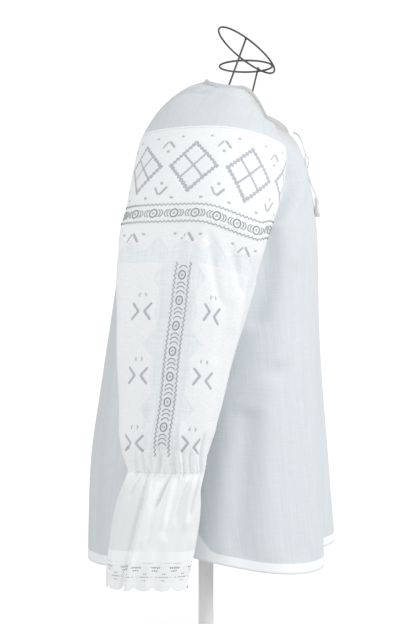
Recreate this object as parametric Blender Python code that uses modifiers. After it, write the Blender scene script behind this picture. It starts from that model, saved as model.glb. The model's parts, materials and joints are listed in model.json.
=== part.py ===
"""Romanian ie blouse on a limbless dress form with a wire neck.

The wearer's front is -Y, the wearer's right is -X and up is +Z. The form stands on z = 0.
Cloth pieces are thin walls whose outer face runs through sections worked out from the tables.
"""

import math
from collections import namedtuple

import bpy
from mathutils import Matrix, Vector

OBJECT_NAME = "romanian_ie_blouse"

# Cloth
WALL = 0.0012
SEAM_GAP = 0.0003
RAGLAN_GAP = 0.0007
ROW_GAP = 0.0008
SLEEVE_POWER = 2.2
SLIT_WIDTH = 0.006
SLIT_ROWS = 5
HEM_Z = 0.148
HEM_SIDE_Z = 0.175
VENT_HEIGHT = 0.040
VENT_GAP = 0.004
TROUGH_TOP_Z = 0.520
TROUGH_DEPTH = 0.030
TROUGH_WIDTH = 0.070
FRONT_SWING = 0.030

# Neck casing and its tie
CASING_HEIGHT = 0.008
CASING_LEAN = 0.0015
TIE_DIAMETER = 0.002
TIE_POINTS = 36
TASSEL_LENGTH = 0.027
TASSEL_RADIUS = 0.0045

# Sleeve end
RUFFLE_FOLDS = 9
RUFFLE_FOLD_DEPTH = 0.0046

# Dress form
FORM_BASE_RADIUS = 0.110
FORM_BASE_THICKNESS = 0.010
FORM_POLE_RADIUS = 0.011
FORM_TORSO_BOTTOM = 0.235
WIRE_RADIUS = 0.0014
NECK_RING_RADIUS = 0.050
NECK_RING_CENTRE = (0.0, -0.0590, 0.8700)
NECK_RING_TILT = math.radians(36.0)
NECK_RING_ROLL = math.radians(9.0)
NECK_HOOP_RADIUS = 0.038
NECK_HOOP_CENTRE = (0.0, -0.0580, 0.8470)

# Sleeve sections from the neck to the underarm. Angles are measured from straight outward,
# and say where the sleeve's front and back edges lie on the section.
SleeveSection = namedtuple(
    "SleeveSection",
    "z centre_x centre_y half_x half_y front_edge back_edge front_drop back_rise",
)
SLEEVE_HEAD = (
    SleeveSection(0.7955, 0.000, -0.060, 0.080, 0.060, 34, 50, -0.1135, 0.0247),
    SleeveSection(0.7820, -0.050, -0.046, 0.080, 0.064, 66, 74, -0.0446, 0.0163),
    SleeveSection(0.7580, -0.110, -0.037, 0.075, 0.078, 98, 100, -0.0300, 0.0120),
    SleeveSection(0.7200, -0.160, -0.033, 0.072, 0.095, 124, 122, -0.0180, -0.0020),
    SleeveSection(0.6600, -0.206, -0.030, 0.064, 0.097, 150, 150, -0.0190, 0.0000),
    SleeveSection(0.6000, -0.249, -0.018, 0.041, 0.095, 179, 179, -0.0190, 0.0000),
)
NECK_ROW = 0
BAND_TOP_ROW = 3
UNDERARM_ROW = 5
SEAM_ROWS = 11
SLEEVE_COLUMNS = 18

# Closed sleeve sections from the underarm to the wrist, then from the wrist to the lace's edge.
TubeSection = namedtuple("TubeSection", "z centre_x centre_y half_x half_y front_drop")
SLEEVE_LOWER = (
    TubeSection(0.6000, -0.249, -0.0180, 0.041, 0.0950, -0.0190),
    TubeSection(0.5340, -0.256, -0.0087, 0.040, 0.0870, -0.0160),
    TubeSection(0.4900, -0.260, -0.0045, 0.038, 0.0807, -0.0130),
    TubeSection(0.4345, -0.262, 0.0023, 0.036, 0.0733, -0.0100),
    TubeSection(0.3746, -0.262, 0.0077, 0.034, 0.0650, -0.0070),
    TubeSection(0.3246, -0.262, 0.0147, 0.030, 0.0568, -0.0040),
    TubeSection(0.2890, -0.262, 0.0130, 0.020, 0.0475, 0.0000),
)
RUFFLE = (
    TubeSection(0.2887, -0.262, 0.0130, 0.020, 0.0475, 0.0000),
    TubeSection(0.2640, -0.262, 0.0200, 0.025, 0.0517, 0.0000),
    TubeSection(0.2416, -0.262, 0.0240, 0.028, 0.0545, 0.0000),
    TubeSection(0.2190, -0.262, 0.0270, 0.029, 0.0550, 0.0000),
    TubeSection(0.1785, -0.262, 0.0330, 0.029, 0.0540, 0.0000),
)
LACE = (
    TubeSection(0.1782, -0.262, 0.0330, 0.029, 0.0540, 0.0000),
    TubeSection(0.1600, -0.262, 0.0360, 0.029, 0.0525, 0.0000),
    TubeSection(0.1430, -0.262, 0.0370, 0.029, 0.0515, 0.0000),
)

# Body sections. The first six share their edges with the rows of the sleeve head, and the
# others close at the side seams, which the side columns place. Angles say how far round an
# oval each panel reaches.
BodySection = namedtuple(
    "BodySection",
    "front_z front_y front_angle front_power back_z back_y back_angle back_power"
    " side_x side_y side_z",
)
BODY = (
    BodySection(0.748, -0.1195, 56, 2.0, 0.824, 0.0000, 40, 2.0, -0.2066, -0.021, 0.700),
    BodySection(0.736, -0.1300, 56, 2.0, 0.812, 0.0300, 45, 2.0, -0.2066, -0.021, 0.700),
    BodySection(0.719, -0.1380, 60, 2.1, 0.780, 0.0660, 52, 2.0, -0.2066, -0.021, 0.700),
    BodySection(0.697, -0.1435, 66, 2.2, 0.733, 0.0900, 62, 2.1, -0.2066, -0.021, 0.700),
    BodySection(0.655, -0.1520, 78, 2.4, 0.665, 0.1040, 76, 2.2, -0.2066, -0.021, 0.700),
    BodySection(0.600, -0.158, 90, 2.5, 0.600, 0.1140, 90, 2.2, -0.2074, -0.018, 0.600),
    BodySection(0.500, -0.162, 90, 2.6, 0.500, 0.1285, 90, 2.2, -0.2085, -0.015, 0.500),
    BodySection(0.400, -0.168, 90, 2.9, 0.400, 0.1440, 90, 2.2, -0.2110, -0.012, 0.402),
    BodySection(0.280, -0.177, 90, 3.2, 0.280, 0.1610, 90, 2.2, -0.2150, -0.010, 0.292),
    BodySection(HEM_Z, -0.186, 90, 3.5, HEM_Z, 0.1650, 90, 2.2, -0.2190, -0.008, HEM_SIDE_Z),
)
BODY_LAST = len(BODY) - 1

# Dress form sections, ovals from the hip to the foot of the wire neck.
FormSection = namedtuple("FormSection", "z half_x half_y centre_y")
FORM = (
    FormSection(FORM_TORSO_BOTTOM, 0.158, 0.108, 0.000),
    FormSection(0.300, 0.165, 0.115, 0.000),
    FormSection(0.380, 0.148, 0.104, -0.005),
    FormSection(0.450, 0.128, 0.092, -0.010),
    FormSection(0.530, 0.140, 0.102, -0.018),
    FormSection(0.610, 0.155, 0.112, -0.022),
    FormSection(0.680, 0.156, 0.098, -0.024),
    FormSection(0.725, 0.135, 0.080, -0.028),
    FormSection(0.750, 0.098, 0.060, -0.034),
    FormSection(0.762, 0.062, 0.042, -0.040),
)

# Routes of the two tie ends, from the casing's ends to their tassels.
TIE_ROUTES = {
    "right": (
        (-0.0050, -0.1270, 0.7500),
        (-0.0065, -0.1345, 0.7455),
        (-0.0080, -0.1395, 0.7360),
        (-0.0090, -0.1425, 0.7250),
        (-0.0100, -0.1455, 0.7160),
        (-0.0130, -0.1495, 0.7100),
        (-0.0165, -0.1500, 0.7030),
        (-0.0165, -0.1475, 0.6970),
        (-0.0125, -0.1460, 0.6975),
        (-0.0105, -0.1460, 0.7040),
        (-0.0125, -0.1445, 0.7110),
        (-0.0175, -0.1445, 0.7120),
        (-0.0200, -0.1450, 0.7050),
        (-0.0190, -0.1470, 0.6930),
        (-0.0160, -0.1510, 0.6780),
        (-0.0145, -0.1560, 0.6660),
        (-0.0140, -0.1605, 0.6560),
    ),
    "left": (
        (0.0050, -0.1270, 0.7500),
        (0.0065, -0.1345, 0.7450),
        (0.0080, -0.1400, 0.7340),
        (0.0090, -0.1435, 0.7200),
        (0.0090, -0.1455, 0.7060),
        (0.0085, -0.1480, 0.6920),
        (0.0075, -0.1520, 0.6780),
        (0.0070, -0.1570, 0.6660),
        (0.0070, -0.1605, 0.6560),
    ),
}

COLOURS = {
    "linen": (0.80, 0.83, 0.85, 1.0),
    "embroidered_linen": (0.92, 0.93, 0.94, 1.0),
    "lace": (0.95, 0.95, 0.95, 1.0),
    "tie": (0.93, 0.93, 0.93, 1.0),
    "form_cover": (0.86, 0.85, 0.83, 1.0),
    "painted_steel": (0.88, 0.88, 0.88, 1.0),
    "dark_wire": (0.12, 0.12, 0.12, 1.0),
}


def clear_scene():
    for obj in list(bpy.data.objects):
        bpy.data.objects.remove(obj, do_unlink=True)


def material(name, roughness, metallic=0.0):
    found = bpy.data.materials.get(name)
    if found:
        return found
    made = bpy.data.materials.new(name)
    made.use_nodes = True
    shader = made.node_tree.nodes["Principled BSDF"]
    shader.inputs["Base Color"].default_value = COLOURS[name]
    shader.inputs["Roughness"].default_value = roughness
    shader.inputs["Metallic"].default_value = metallic
    return made


def between_rows(table, position):
    """The table's values at a fractional row, on a smooth curve through its rows."""
    last = len(table) - 1
    row = min(int(position), last - 1)
    share = position - row
    before, here = table[max(row - 1, 0)], table[row]
    after, beyond = table[row + 1], table[min(row + 2, last)]
    values = []
    for a, b, c, d in zip(before, here, after, beyond):
        bend = (2 * a - 5 * b + 4 * c - d) * share**2
        turn = (3 * b - a - 3 * c + d) * share**3
        values.append(0.5 * (2 * b + (c - a) * share + bend + turn))
    return type(here)(*values)


def rounded(value, power):
    """A sine or cosine drawn out so that an oval gets squarer as the power grows."""
    return math.copysign(abs(value) ** (2.0 / power), value)


def head_point(section, degrees):
    """A point of the upper sleeve. The angle is 0 outward, positive to the front."""
    along = rounded(math.cos(math.radians(degrees)), SLEEVE_POWER)
    across = rounded(math.sin(math.radians(degrees)), SLEEVE_POWER)
    lift = section.front_drop if across > 0 else section.back_rise
    return Vector((
        section.centre_x - section.half_x * along,
        section.centre_y - section.half_y * across,
        section.z + lift * across**2,
    ))


def tube_point(section, degrees, swell=0.0):
    """A point of a closed sleeve section, pushed out by swell."""
    along = rounded(math.cos(math.radians(degrees)), SLEEVE_POWER)
    across = rounded(math.sin(math.radians(degrees)), SLEEVE_POWER)
    drop = section.front_drop * across**2 if across > 0 else 0.0
    return Vector((
        section.centre_x - (section.half_x + swell) * along,
        section.centre_y - (section.half_y + swell) * across,
        section.z + drop,
    ))


def body_edge(position, side):
    """Where a body panel ends on the right, at the raglan seam or at the side seam."""
    if position <= UNDERARM_ROW:
        section = between_rows(SLEEVE_HEAD, position)
        reach = section.front_edge if side == "front" else -section.back_edge
        edge = head_point(section, reach)
        edge.x += RAGLAN_GAP
        return edge
    section = between_rows(BODY, position)
    edge = Vector((section.side_x, section.side_y, section.side_z))
    open_share = max(0.0, (HEM_SIDE_Z + VENT_HEIGHT - edge.z) / VENT_HEIGHT)
    apart = 0.5 * SEAM_GAP + 0.5 * VENT_GAP * open_share
    edge.y += -apart if side == "front" else apart
    return edge


def body_point(position, across, side):
    """A point of the front or back panel. across runs from -1, right, to 1, left."""
    section = between_rows(BODY, position)
    edge = body_edge(position, side)
    if side == "front":
        middle_z, middle_y = section.front_z, section.front_y
        reach, power = math.radians(section.front_angle), section.front_power
    else:
        middle_z, middle_y = section.back_z, section.back_y
        reach, power = math.radians(section.back_angle), section.back_power
    sine = math.sin(reach) * abs(across) ** (power / 2.0)
    ends = math.cos(reach) ** (2.0 / power) if reach < math.radians(89.9) else 0.0
    here = max(0.0, 1.0 - sine * sine) ** (1.0 / power)
    share = (here - ends) / (1.0 - ends)
    x = -edge.x * across
    y = edge.y + (middle_y - edge.y) * share
    if position <= UNDERARM_ROW:
        z = edge.z + (middle_z - edge.z) * (1.0 - across * across)
    else:
        z = edge.z + (middle_z - edge.z) * (1.0 - (1.0 - share) ** 1.5)
    if side == "front" and z < TROUGH_TOP_Z:
        fall = min(1.0, (TROUGH_TOP_Z - z) / (TROUGH_TOP_Z - HEM_Z))
        y += TROUGH_DEPTH * fall**1.3 * math.exp(-((x / TROUGH_WIDTH) ** 2))
        y -= FRONT_SWING * x * fall * share
    return Vector((x, y, z))


def mesh_object(name, points, faces, finish, collection):
    mesh = bpy.data.meshes.new(name)
    mesh.from_pydata([tuple(p) for p in points], [], faces)
    mesh.materials.append(finish)
    mesh.shade_smooth()
    obj = bpy.data.objects.new(name, mesh)
    collection.objects.link(obj)
    return obj


def loft_faces(rows, columns, closed, left_out=()):
    """Quads between neighbouring rows. left_out holds (row, column) pairs."""
    faces = []
    for row in range(rows - 1):
        for column in range(columns if closed else columns - 1):
            if (row, column) in left_out:
                continue
            after = (column + 1) % columns
            here = row * columns
            below = here + columns
            faces.append((here + column, below + column, below + after, here + after))
    return faces


def cloth(name, rows, closed, finish, collection, mirrored=False, left_out=()):
    """A wall of cloth whose outer face runs through the rows, which go from top to bottom."""
    columns = len(rows[0])
    faces = loft_faces(len(rows), columns, closed, left_out)
    if mirrored:
        rows = [[Vector((-p.x, p.y, p.z)) for p in row] for row in rows]
        faces = [tuple(reversed(face)) for face in faces]
    obj = mesh_object(name, [p for row in rows for p in row], faces, finish, collection)
    wall = obj.modifiers.new("wall", "SOLIDIFY")
    wall.thickness = WALL
    wall.offset = -1.0
    return obj


def spaced(first, last, count):
    return [first + (last - first) * i / (count - 1) for i in range(count)]


def panel_columns(position, side, count, slit):
    """Shares across a panel, closer together towards the side seams."""
    half = [math.sin(0.5 * math.pi * share) for share in spaced(0.0, 1.0, count + 1)]
    if slit:
        half[0] = 0.5 * SLIT_WIDTH / -body_edge(position, side).x
        return [-share for share in reversed(half)] + half
    return [-share for share in reversed(half[1:])] + half


def body_rows(side, positions, count, slit):
    rows = []
    for position in positions:
        shares = panel_columns(position, side, count, slit)
        row = [body_point(position, share, side) for share in shares]
        rows.append(row if side == "front" else row[::-1])
    return rows


def make_body(collection):
    upper = spaced(0.0, UNDERARM_ROW, SEAM_ROWS)
    lower = spaced(UNDERARM_ROW, BODY_LAST, 7)[1:]
    finish = material("linen", 0.85)
    half = 9
    front = body_rows("front", upper + lower, half, True)
    slit = [(row, half) for row in range(SLIT_ROWS)]
    cloth("body_front", front, False, finish, collection, left_out=slit)
    back = body_rows("back", upper + lower, half, False)
    cloth("body_back", back, False, finish, collection)


def head_rows(positions, count, drop_first=0.0):
    """Rows of the upper sleeve, from its back edge round the outside to its front edge."""
    rows = []
    for position in positions:
        section = between_rows(SLEEVE_HEAD, position)
        angles = spaced(-section.back_edge, section.front_edge, count)
        rows.append([head_point(section, angle) for angle in angles])
    if drop_first:
        rows[0] = [p - Vector((0.0, 0.0, drop_first)) for p in rows[0]]
    return rows


def tube_rows(table, rows_wanted, count, folds=0, fold_depth=0.0):
    """Rows of a closed sleeve stretch, with gathers that deepen away from the first row."""
    rows = []
    last = len(table) - 1
    for position in spaced(0.0, last, rows_wanted):
        section = between_rows(table, position)
        share = position / last
        row = []
        for angle in spaced(-180.0, 180.0, count + 1)[:-1]:
            wave = math.cos(math.radians(angle) * folds) if folds else 0.0
            depth = fold_depth * (0.35 + 0.65 * min(1.0, 3.0 * share))
            row.append(tube_point(section, angle, depth * wave))
        rows.append(row)
    return rows


def make_sleeves(collection):
    linen = material("linen", 0.85)
    embroidered = material("embroidered_linen", 0.75)
    lace = material("lace", 0.8)
    steps = spaced(NECK_ROW, UNDERARM_ROW, SEAM_ROWS)
    head = head_rows([step for step in steps if step <= BAND_TOP_ROW], SLEEVE_COLUMNS + 1)
    band_steps = [step for step in steps if step >= BAND_TOP_ROW]
    band = head_rows(band_steps, SLEEVE_COLUMNS + 1, drop_first=ROW_GAP)
    lower = tube_rows(SLEEVE_LOWER, 9, SLEEVE_COLUMNS)
    lower[0] = [p - Vector((0.0, 0.0, ROW_GAP)) for p in lower[0]]
    ruffle = tube_rows(RUFFLE, 5, 4 * RUFFLE_FOLDS, RUFFLE_FOLDS, RUFFLE_FOLD_DEPTH)
    edging = tube_rows(LACE, 2, 4 * RUFFLE_FOLDS, RUFFLE_FOLDS, RUFFLE_FOLD_DEPTH)
    edging[0] = [p.copy() for p in ruffle[-1]]
    for point in edging[0]:
        point.z -= SEAM_GAP
    for side in ("right", "left"):
        mirrored = side == "left"
        cloth(f"sleeve_head_{side}", head, False, linen, collection, mirrored)
        cloth(f"sleeve_band_{side}", band, False, embroidered, collection, mirrored)
        cloth(f"sleeve_lower_{side}", lower, True, linen, collection, mirrored)
        cloth(f"cuff_ruffle_{side}", ruffle, True, linen, collection, mirrored)
        cloth(f"cuff_lace_{side}", edging, True, lace, collection, mirrored)


def neck_line():
    """The neck edge from the slit's right side, round the back, to its left side."""
    front = [p for p in body_rows("front", [0.0], 5, True)[0] if p.x < 0]
    side = head_rows([0.0], 8)[0]
    back = body_rows("back", [0.0], 4, False)[0]
    right = list(reversed(front)) + list(reversed(side)) + list(reversed(back[5:]))
    left = [Vector((-p.x, p.y, p.z)) for p in reversed(right)]
    return right + [back[4]] + left


def make_neck_casing(collection):
    """The turned band that carries the tie, standing on the neck edge."""
    line = neck_line()
    middle = sum(line, Vector()) / len(line)
    rows = []
    for share in (1.0, 0.5, 0.0):
        row = []
        for point in line:
            inward = Vector((middle.x - point.x, middle.y - point.y, 0.0)).normalized()
            rise = SEAM_GAP + CASING_HEIGHT * share
            row.append(point + inward * CASING_LEAN * share + Vector((0.0, 0.0, rise)))
        rows.append(list(reversed(row)))
    cloth("neck_casing", rows, False, material("linen", 0.85), collection)


def smooth_route(points, count):
    """Points at even steps of a smooth curve through the given points."""
    places = [Vector(p) for p in points]
    steps = spaced(0.0, len(places) - 1, 12 * len(places))
    fine = [Vector(between_vectors(places, step)) for step in steps]
    run = [0.0]
    for a, b in zip(fine, fine[1:]):
        run.append(run[-1] + (b - a).length)
    even = []
    place = 0
    for wanted in spaced(0.0, run[-1], count):
        while place < len(run) - 2 and run[place + 1] < wanted:
            place += 1
        share = (wanted - run[place]) / (run[place + 1] - run[place])
        even.append(fine[place].lerp(fine[place + 1], share))
    return even


def between_vectors(places, position):
    last = len(places) - 1
    row = min(int(position), last - 1)
    share = position - row
    before, here = places[max(row - 1, 0)], places[row]
    after, beyond = places[row + 1], places[min(row + 2, last)]
    bend = (2 * before - 5 * here + 4 * after - beyond) * share**2
    turn = (3 * here - before - 3 * after + beyond) * share**3
    return 0.5 * (2 * here + (after - before) * share + bend + turn)


def wire(name, points, radius, finish, collection, cyclic=False, resolution=2):
    curve = bpy.data.curves.new(name, "CURVE")
    curve.dimensions = "3D"
    curve.bevel_depth = radius
    curve.bevel_resolution = resolution
    curve.use_fill_caps = not cyclic
    curve.materials.append(finish)
    spline = curve.splines.new("POLY")
    spline.points.add(len(points) - 1)
    for place, point in zip(spline.points, points):
        place.co = (point[0], point[1], point[2], 1.0)
    spline.use_cyclic_u = cyclic
    obj = bpy.data.objects.new(name, curve)
    collection.objects.link(obj)
    return obj


def turned(name, profile, steps, finish, collection, location):
    """A solid of revolution about Z. The profile runs down the outer side from the axis."""
    mesh = bpy.data.meshes.new(name)
    edges = [(i, i + 1) for i in range(len(profile) - 1)]
    mesh.from_pydata([(radius, 0.0, z) for radius, z in profile], edges, [])
    mesh.materials.append(finish)
    obj = bpy.data.objects.new(name, mesh)
    obj.location = location
    collection.objects.link(obj)
    screw = obj.modifiers.new("turn", "SCREW")
    screw.steps = steps
    screw.render_steps = steps
    screw.use_merge_vertices = True
    screw.merge_threshold = 0.0001
    return obj


def make_ties(collection):
    finish = material("tie", 0.7)
    for side, route in TIE_ROUTES.items():
        wire(f"tie_{side}", smooth_route(route, TIE_POINTS), TIE_DIAMETER / 2, finish, collection)
        end = Vector(route[-1])
        profile = (
            (0.0, 0.0),
            (0.5 * TASSEL_RADIUS, -0.001),
            (0.8 * TASSEL_RADIUS, -0.004),
            (0.6 * TASSEL_RADIUS, -0.007),
            (0.8 * TASSEL_RADIUS, -0.012),
            (TASSEL_RADIUS, -TASSEL_LENGTH),
            (0.0, -TASSEL_LENGTH),
        )
        place = end - Vector((0.0, 0.0, 2 * SEAM_GAP))
        turned(f"tassel_{side}", profile, 12, finish, collection, place)


def make_form(collection):
    cover = material("form_cover", 0.8)
    steel = material("painted_steel", 0.4)
    base = (
        (0.0, FORM_BASE_THICKNESS),
        (FORM_BASE_RADIUS - 0.003, FORM_BASE_THICKNESS),
        (FORM_BASE_RADIUS, FORM_BASE_THICKNESS - 0.003),
        (FORM_BASE_RADIUS, 0.0),
        (0.0, 0.0),
    )
    turned("form_base", base, 40, steel, collection, (0.0, 0.0, 0.0))
    foot = FORM_BASE_THICKNESS + SEAM_GAP
    height = FORM_TORSO_BOTTOM - 2 * SEAM_GAP - FORM_BASE_THICKNESS
    pole = (
        (0.0, height),
        (FORM_POLE_RADIUS, height),
        (FORM_POLE_RADIUS, 0.008),
        (2 * FORM_POLE_RADIUS, 0.004),
        (2 * FORM_POLE_RADIUS, 0.0),
        (0.0, 0.0),
    )
    turned("form_pole", pole, 20, steel, collection, (0.0, 0.0, foot))

    columns = 24
    rows = []
    for position in spaced(len(FORM) - 1, 0.0, 15):
        section = between_rows(FORM, position)
        row = []
        for angle in spaced(0.0, 2 * math.pi, columns + 1)[:-1]:
            x = section.half_x * math.cos(angle)
            y = section.centre_y + section.half_y * math.sin(angle)
            row.append(Vector((x, y, section.z)))
        rows.append(row)
    faces = loft_faces(len(rows), columns, True)
    faces.append(tuple(range(columns)))
    faces.append(tuple(reversed(range((len(rows) - 1) * columns, len(rows) * columns))))
    mesh_object("form_torso", [p for row in rows for p in row], faces, cover, collection)


def make_wire_neck(collection):
    finish = material("dark_wire", 0.45, 0.8)
    tilt = Matrix.Rotation(NECK_RING_TILT, 3, "X") @ Matrix.Rotation(NECK_RING_ROLL, 3, "Y")
    hoops = (
        ("form_neck_ring", NECK_RING_CENTRE, NECK_RING_RADIUS, tilt),
        ("form_neck_hoop", NECK_HOOP_CENTRE, NECK_HOOP_RADIUS, Matrix.Identity(3)),
    )
    for name, centre, radius, turn in hoops:
        points = []
        for angle in spaced(0.0, 2 * math.pi, 29)[:-1]:
            flat = Vector((radius * math.cos(angle), radius * math.sin(angle), 0.0))
            points.append(Vector(centre) + turn @ flat)
        wire(name, points, WIRE_RADIUS, finish, collection, cyclic=True)
    top_of_form = FORM[-1].z + SEAM_GAP
    struts = {
        "right": ((-0.028, -0.018), 180),
        "left": ((0.042, -0.050), 334),
    }
    for name, (foot, degrees) in struts.items():
        angle = math.radians(degrees)
        inner = NECK_RING_RADIUS - 2 * WIRE_RADIUS - SEAM_GAP
        flat = Vector((inner * math.cos(angle), inner * math.sin(angle), 0.0))
        head = Vector(NECK_RING_CENTRE) + tilt @ flat
        base = Vector((foot[0], foot[1], top_of_form + 0.001))
        wire(f"form_neck_strut_{name}", [base, head], WIRE_RADIUS, finish, collection)


def main():
    clear_scene()
    parts = bpy.data.collections.new(OBJECT_NAME)
    bpy.context.scene.collection.children.link(parts)
    make_body(parts)
    make_sleeves(parts)
    make_neck_casing(parts)
    make_ties(parts)
    make_form(parts)
    make_wire_neck(parts)


main()
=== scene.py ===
"""Looks of a Romanian ie blouse on a limbless dress form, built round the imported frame.

The wearer's front is -Y, the wearer's right is -X and up is +Z. Lengths are in metres.
"""

import json
import math

import bmesh
import bpy
import numpy as np
from bpy.props import (
    FloatProperty,
    FloatVectorProperty,
    IntProperty,
    PointerProperty,
)
from mathutils import Matrix, Vector

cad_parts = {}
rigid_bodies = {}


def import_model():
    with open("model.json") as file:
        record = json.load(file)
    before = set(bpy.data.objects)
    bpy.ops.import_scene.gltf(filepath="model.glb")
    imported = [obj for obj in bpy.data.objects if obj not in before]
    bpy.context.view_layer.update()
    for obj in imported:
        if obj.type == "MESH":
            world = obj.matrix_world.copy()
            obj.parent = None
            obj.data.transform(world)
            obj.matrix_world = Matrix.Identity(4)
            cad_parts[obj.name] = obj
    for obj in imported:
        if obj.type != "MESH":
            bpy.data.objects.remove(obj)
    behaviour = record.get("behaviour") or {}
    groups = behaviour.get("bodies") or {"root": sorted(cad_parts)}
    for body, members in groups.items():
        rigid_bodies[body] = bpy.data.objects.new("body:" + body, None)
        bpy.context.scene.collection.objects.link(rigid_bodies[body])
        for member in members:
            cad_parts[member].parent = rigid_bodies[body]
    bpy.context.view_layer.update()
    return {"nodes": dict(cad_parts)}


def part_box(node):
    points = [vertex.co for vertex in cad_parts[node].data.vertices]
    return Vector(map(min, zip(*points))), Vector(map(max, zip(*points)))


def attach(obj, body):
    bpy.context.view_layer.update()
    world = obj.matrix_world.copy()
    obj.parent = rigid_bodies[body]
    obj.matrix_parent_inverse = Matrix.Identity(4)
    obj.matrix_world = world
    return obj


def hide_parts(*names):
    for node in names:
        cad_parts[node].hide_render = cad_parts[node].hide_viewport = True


bl_info = {
    "name": "Romanian Ie Blouse",
    "version": (1, 0, 0),
    "blender": (4, 5, 0),
    "location": "View3D > Sidebar > Blouse",
    "description": "Builds an embroidered linen blouse on its dress form",
    "category": "Add Mesh",
}

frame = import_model()
BODY_NAME = "root"

# ---------------------------------------------------------------- sizes of the cut pieces

SLEEVE_POWER = 2.2
HEM_Z = 0.148
HEM_SIDE_Z = 0.175
VENT_HEIGHT = 0.040
VENT_GAP = 0.004
TROUGH_TOP_Z = 0.520
TROUGH_DEPTH = 0.030
TROUGH_WIDTH = 0.070
FRONT_SWING = 0.030
SLIT_WIDTH = 0.006
SLIT_SHARE = 0.015  # the slit's half width as a share of the panel's
CASING_HEIGHT = 0.008
CASING_LEAN = 0.0015
NECK_ROW = 0.0
BAND_TOP_ROW = 3.0
UNDERARM_ROW = 5.0
HEAD_GUIDE_ROW = 2.2  # rows on which the columns of a piece are spaced evenly
BAND_GUIDE_ROW = 4.0

# Upper sleeve: z, centre x, centre y, half x, half y, front edge, back edge, drop, rise
SLEEVE_HEAD = np.array([
    (0.7955, 0.000, -0.060, 0.080, 0.060, 34, 50, -0.1135, 0.0247),
    (0.7820, -0.050, -0.046, 0.080, 0.064, 66, 74, -0.0446, 0.0163),
    (0.7580, -0.110, -0.037, 0.075, 0.078, 98, 100, -0.0300, 0.0120),
    (0.7200, -0.160, -0.033, 0.072, 0.095, 124, 122, -0.0180, -0.0020),
    (0.6600, -0.206, -0.030, 0.064, 0.097, 150, 150, -0.0190, 0.0000),
    (0.6000, -0.249, -0.018, 0.041, 0.095, 179, 179, -0.0190, 0.0000),
])
# Closed stretches: z, centre x, centre y, half x, half y, front drop
SLEEVE_LOWER = np.array([
    (0.6000, -0.249, -0.0180, 0.041, 0.0950, -0.0190),
    (0.5340, -0.256, -0.0087, 0.040, 0.0870, -0.0160),
    (0.4900, -0.260, -0.0045, 0.038, 0.0807, -0.0130),
    (0.4345, -0.262, 0.0023, 0.036, 0.0733, -0.0100),
    (0.3746, -0.262, 0.0077, 0.034, 0.0650, -0.0070),
    (0.3246, -0.262, 0.0147, 0.030, 0.0568, -0.0040),
    (0.2890, -0.262, 0.0130, 0.020, 0.0475, 0.0000),
])
RUFFLE = np.array([
    (0.2887, -0.262, 0.0130, 0.020, 0.0475, 0.0000),
    (0.2640, -0.262, 0.0200, 0.025, 0.0517, 0.0000),
    (0.2416, -0.262, 0.0240, 0.028, 0.0545, 0.0000),
    (0.2190, -0.262, 0.0270, 0.029, 0.0550, 0.0000),
    (0.1785, -0.262, 0.0330, 0.029, 0.0540, 0.0000),
])
LACE = np.array([
    (0.1782, -0.262, 0.0330, 0.029, 0.0540, 0.0000),
    (0.1600, -0.262, 0.0360, 0.029, 0.0525, 0.0000),
    (0.1430, -0.262, 0.0370, 0.029, 0.0515, 0.0000),
])
# Front and back: front z, y, angle, power, back z, y, angle, power, side x, y, z
BODY = np.array([
    (0.748, -0.1195, 56, 2.0, 0.824, 0.0000, 40, 2.0, -0.2066, -0.021, 0.700),
    (0.736, -0.1300, 56, 2.0, 0.812, 0.0300, 45, 2.0, -0.2066, -0.021, 0.700),
    (0.719, -0.1380, 60, 2.1, 0.780, 0.0660, 52, 2.0, -0.2066, -0.021, 0.700),
    (0.697, -0.1435, 66, 2.2, 0.733, 0.0900, 62, 2.1, -0.2066, -0.021, 0.700),
    (0.655, -0.1520, 78, 2.4, 0.665, 0.1040, 76, 2.2, -0.2066, -0.021, 0.700),
    (0.600, -0.158, 90, 2.5, 0.600, 0.1140, 90, 2.2, -0.2074, -0.018, 0.600),
    (0.500, -0.162, 90, 2.6, 0.500, 0.1285, 90, 2.2, -0.2085, -0.015, 0.500),
    (0.400, -0.168, 90, 2.9, 0.400, 0.1440, 90, 2.2, -0.2110, -0.012, 0.402),
    (0.280, -0.177, 90, 3.2, 0.280, 0.1610, 90, 2.2, -0.2150, -0.010, 0.292),
    (HEM_Z, -0.186, 90, 3.5, HEM_Z, 0.1650, 90, 2.2, -0.2190, -0.008, HEM_SIDE_Z),
])
BODY_LAST = len(BODY) - 1

TIE_ROUTES = {
    "right": (
        (-0.0050, -0.1270, 0.7500),
        (-0.0065, -0.1345, 0.7455),
        (-0.0080, -0.1395, 0.7360),
        (-0.0090, -0.1425, 0.7250),
        (-0.0100, -0.1455, 0.7160),
        (-0.0130, -0.1495, 0.7100),
        (-0.0165, -0.1500, 0.7030),
        (-0.0165, -0.1475, 0.6970),
        (-0.0125, -0.1460, 0.6975),
        (-0.0105, -0.1460, 0.7040),
        (-0.0125, -0.1445, 0.7110),
        (-0.0175, -0.1445, 0.7120),
        (-0.0200, -0.1450, 0.7050),
        (-0.0190, -0.1470, 0.6930),
        (-0.0160, -0.1510, 0.6780),
        (-0.0145, -0.1560, 0.6660),
        (-0.0140, -0.1605, 0.6560),
    ),
    "left": (
        (0.0050, -0.1270, 0.7500),
        (0.0065, -0.1345, 0.7450),
        (0.0080, -0.1400, 0.7340),
        (0.0090, -0.1435, 0.7200),
        (0.0090, -0.1455, 0.7060),
        (0.0085, -0.1480, 0.6920),
        (0.0075, -0.1520, 0.6780),
        (0.0070, -0.1570, 0.6660),
        (0.0070, -0.1605, 0.6560),
    ),
}

MM = 0.001
SIDES = ("right", "left")
WELL_INSIDE = 30.0  # signed distances, in mm, that say all of a piece or none of it
WELL_OUTSIDE = -9.0


# ---------------------------------------------------------------- numbers and shapes

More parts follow.
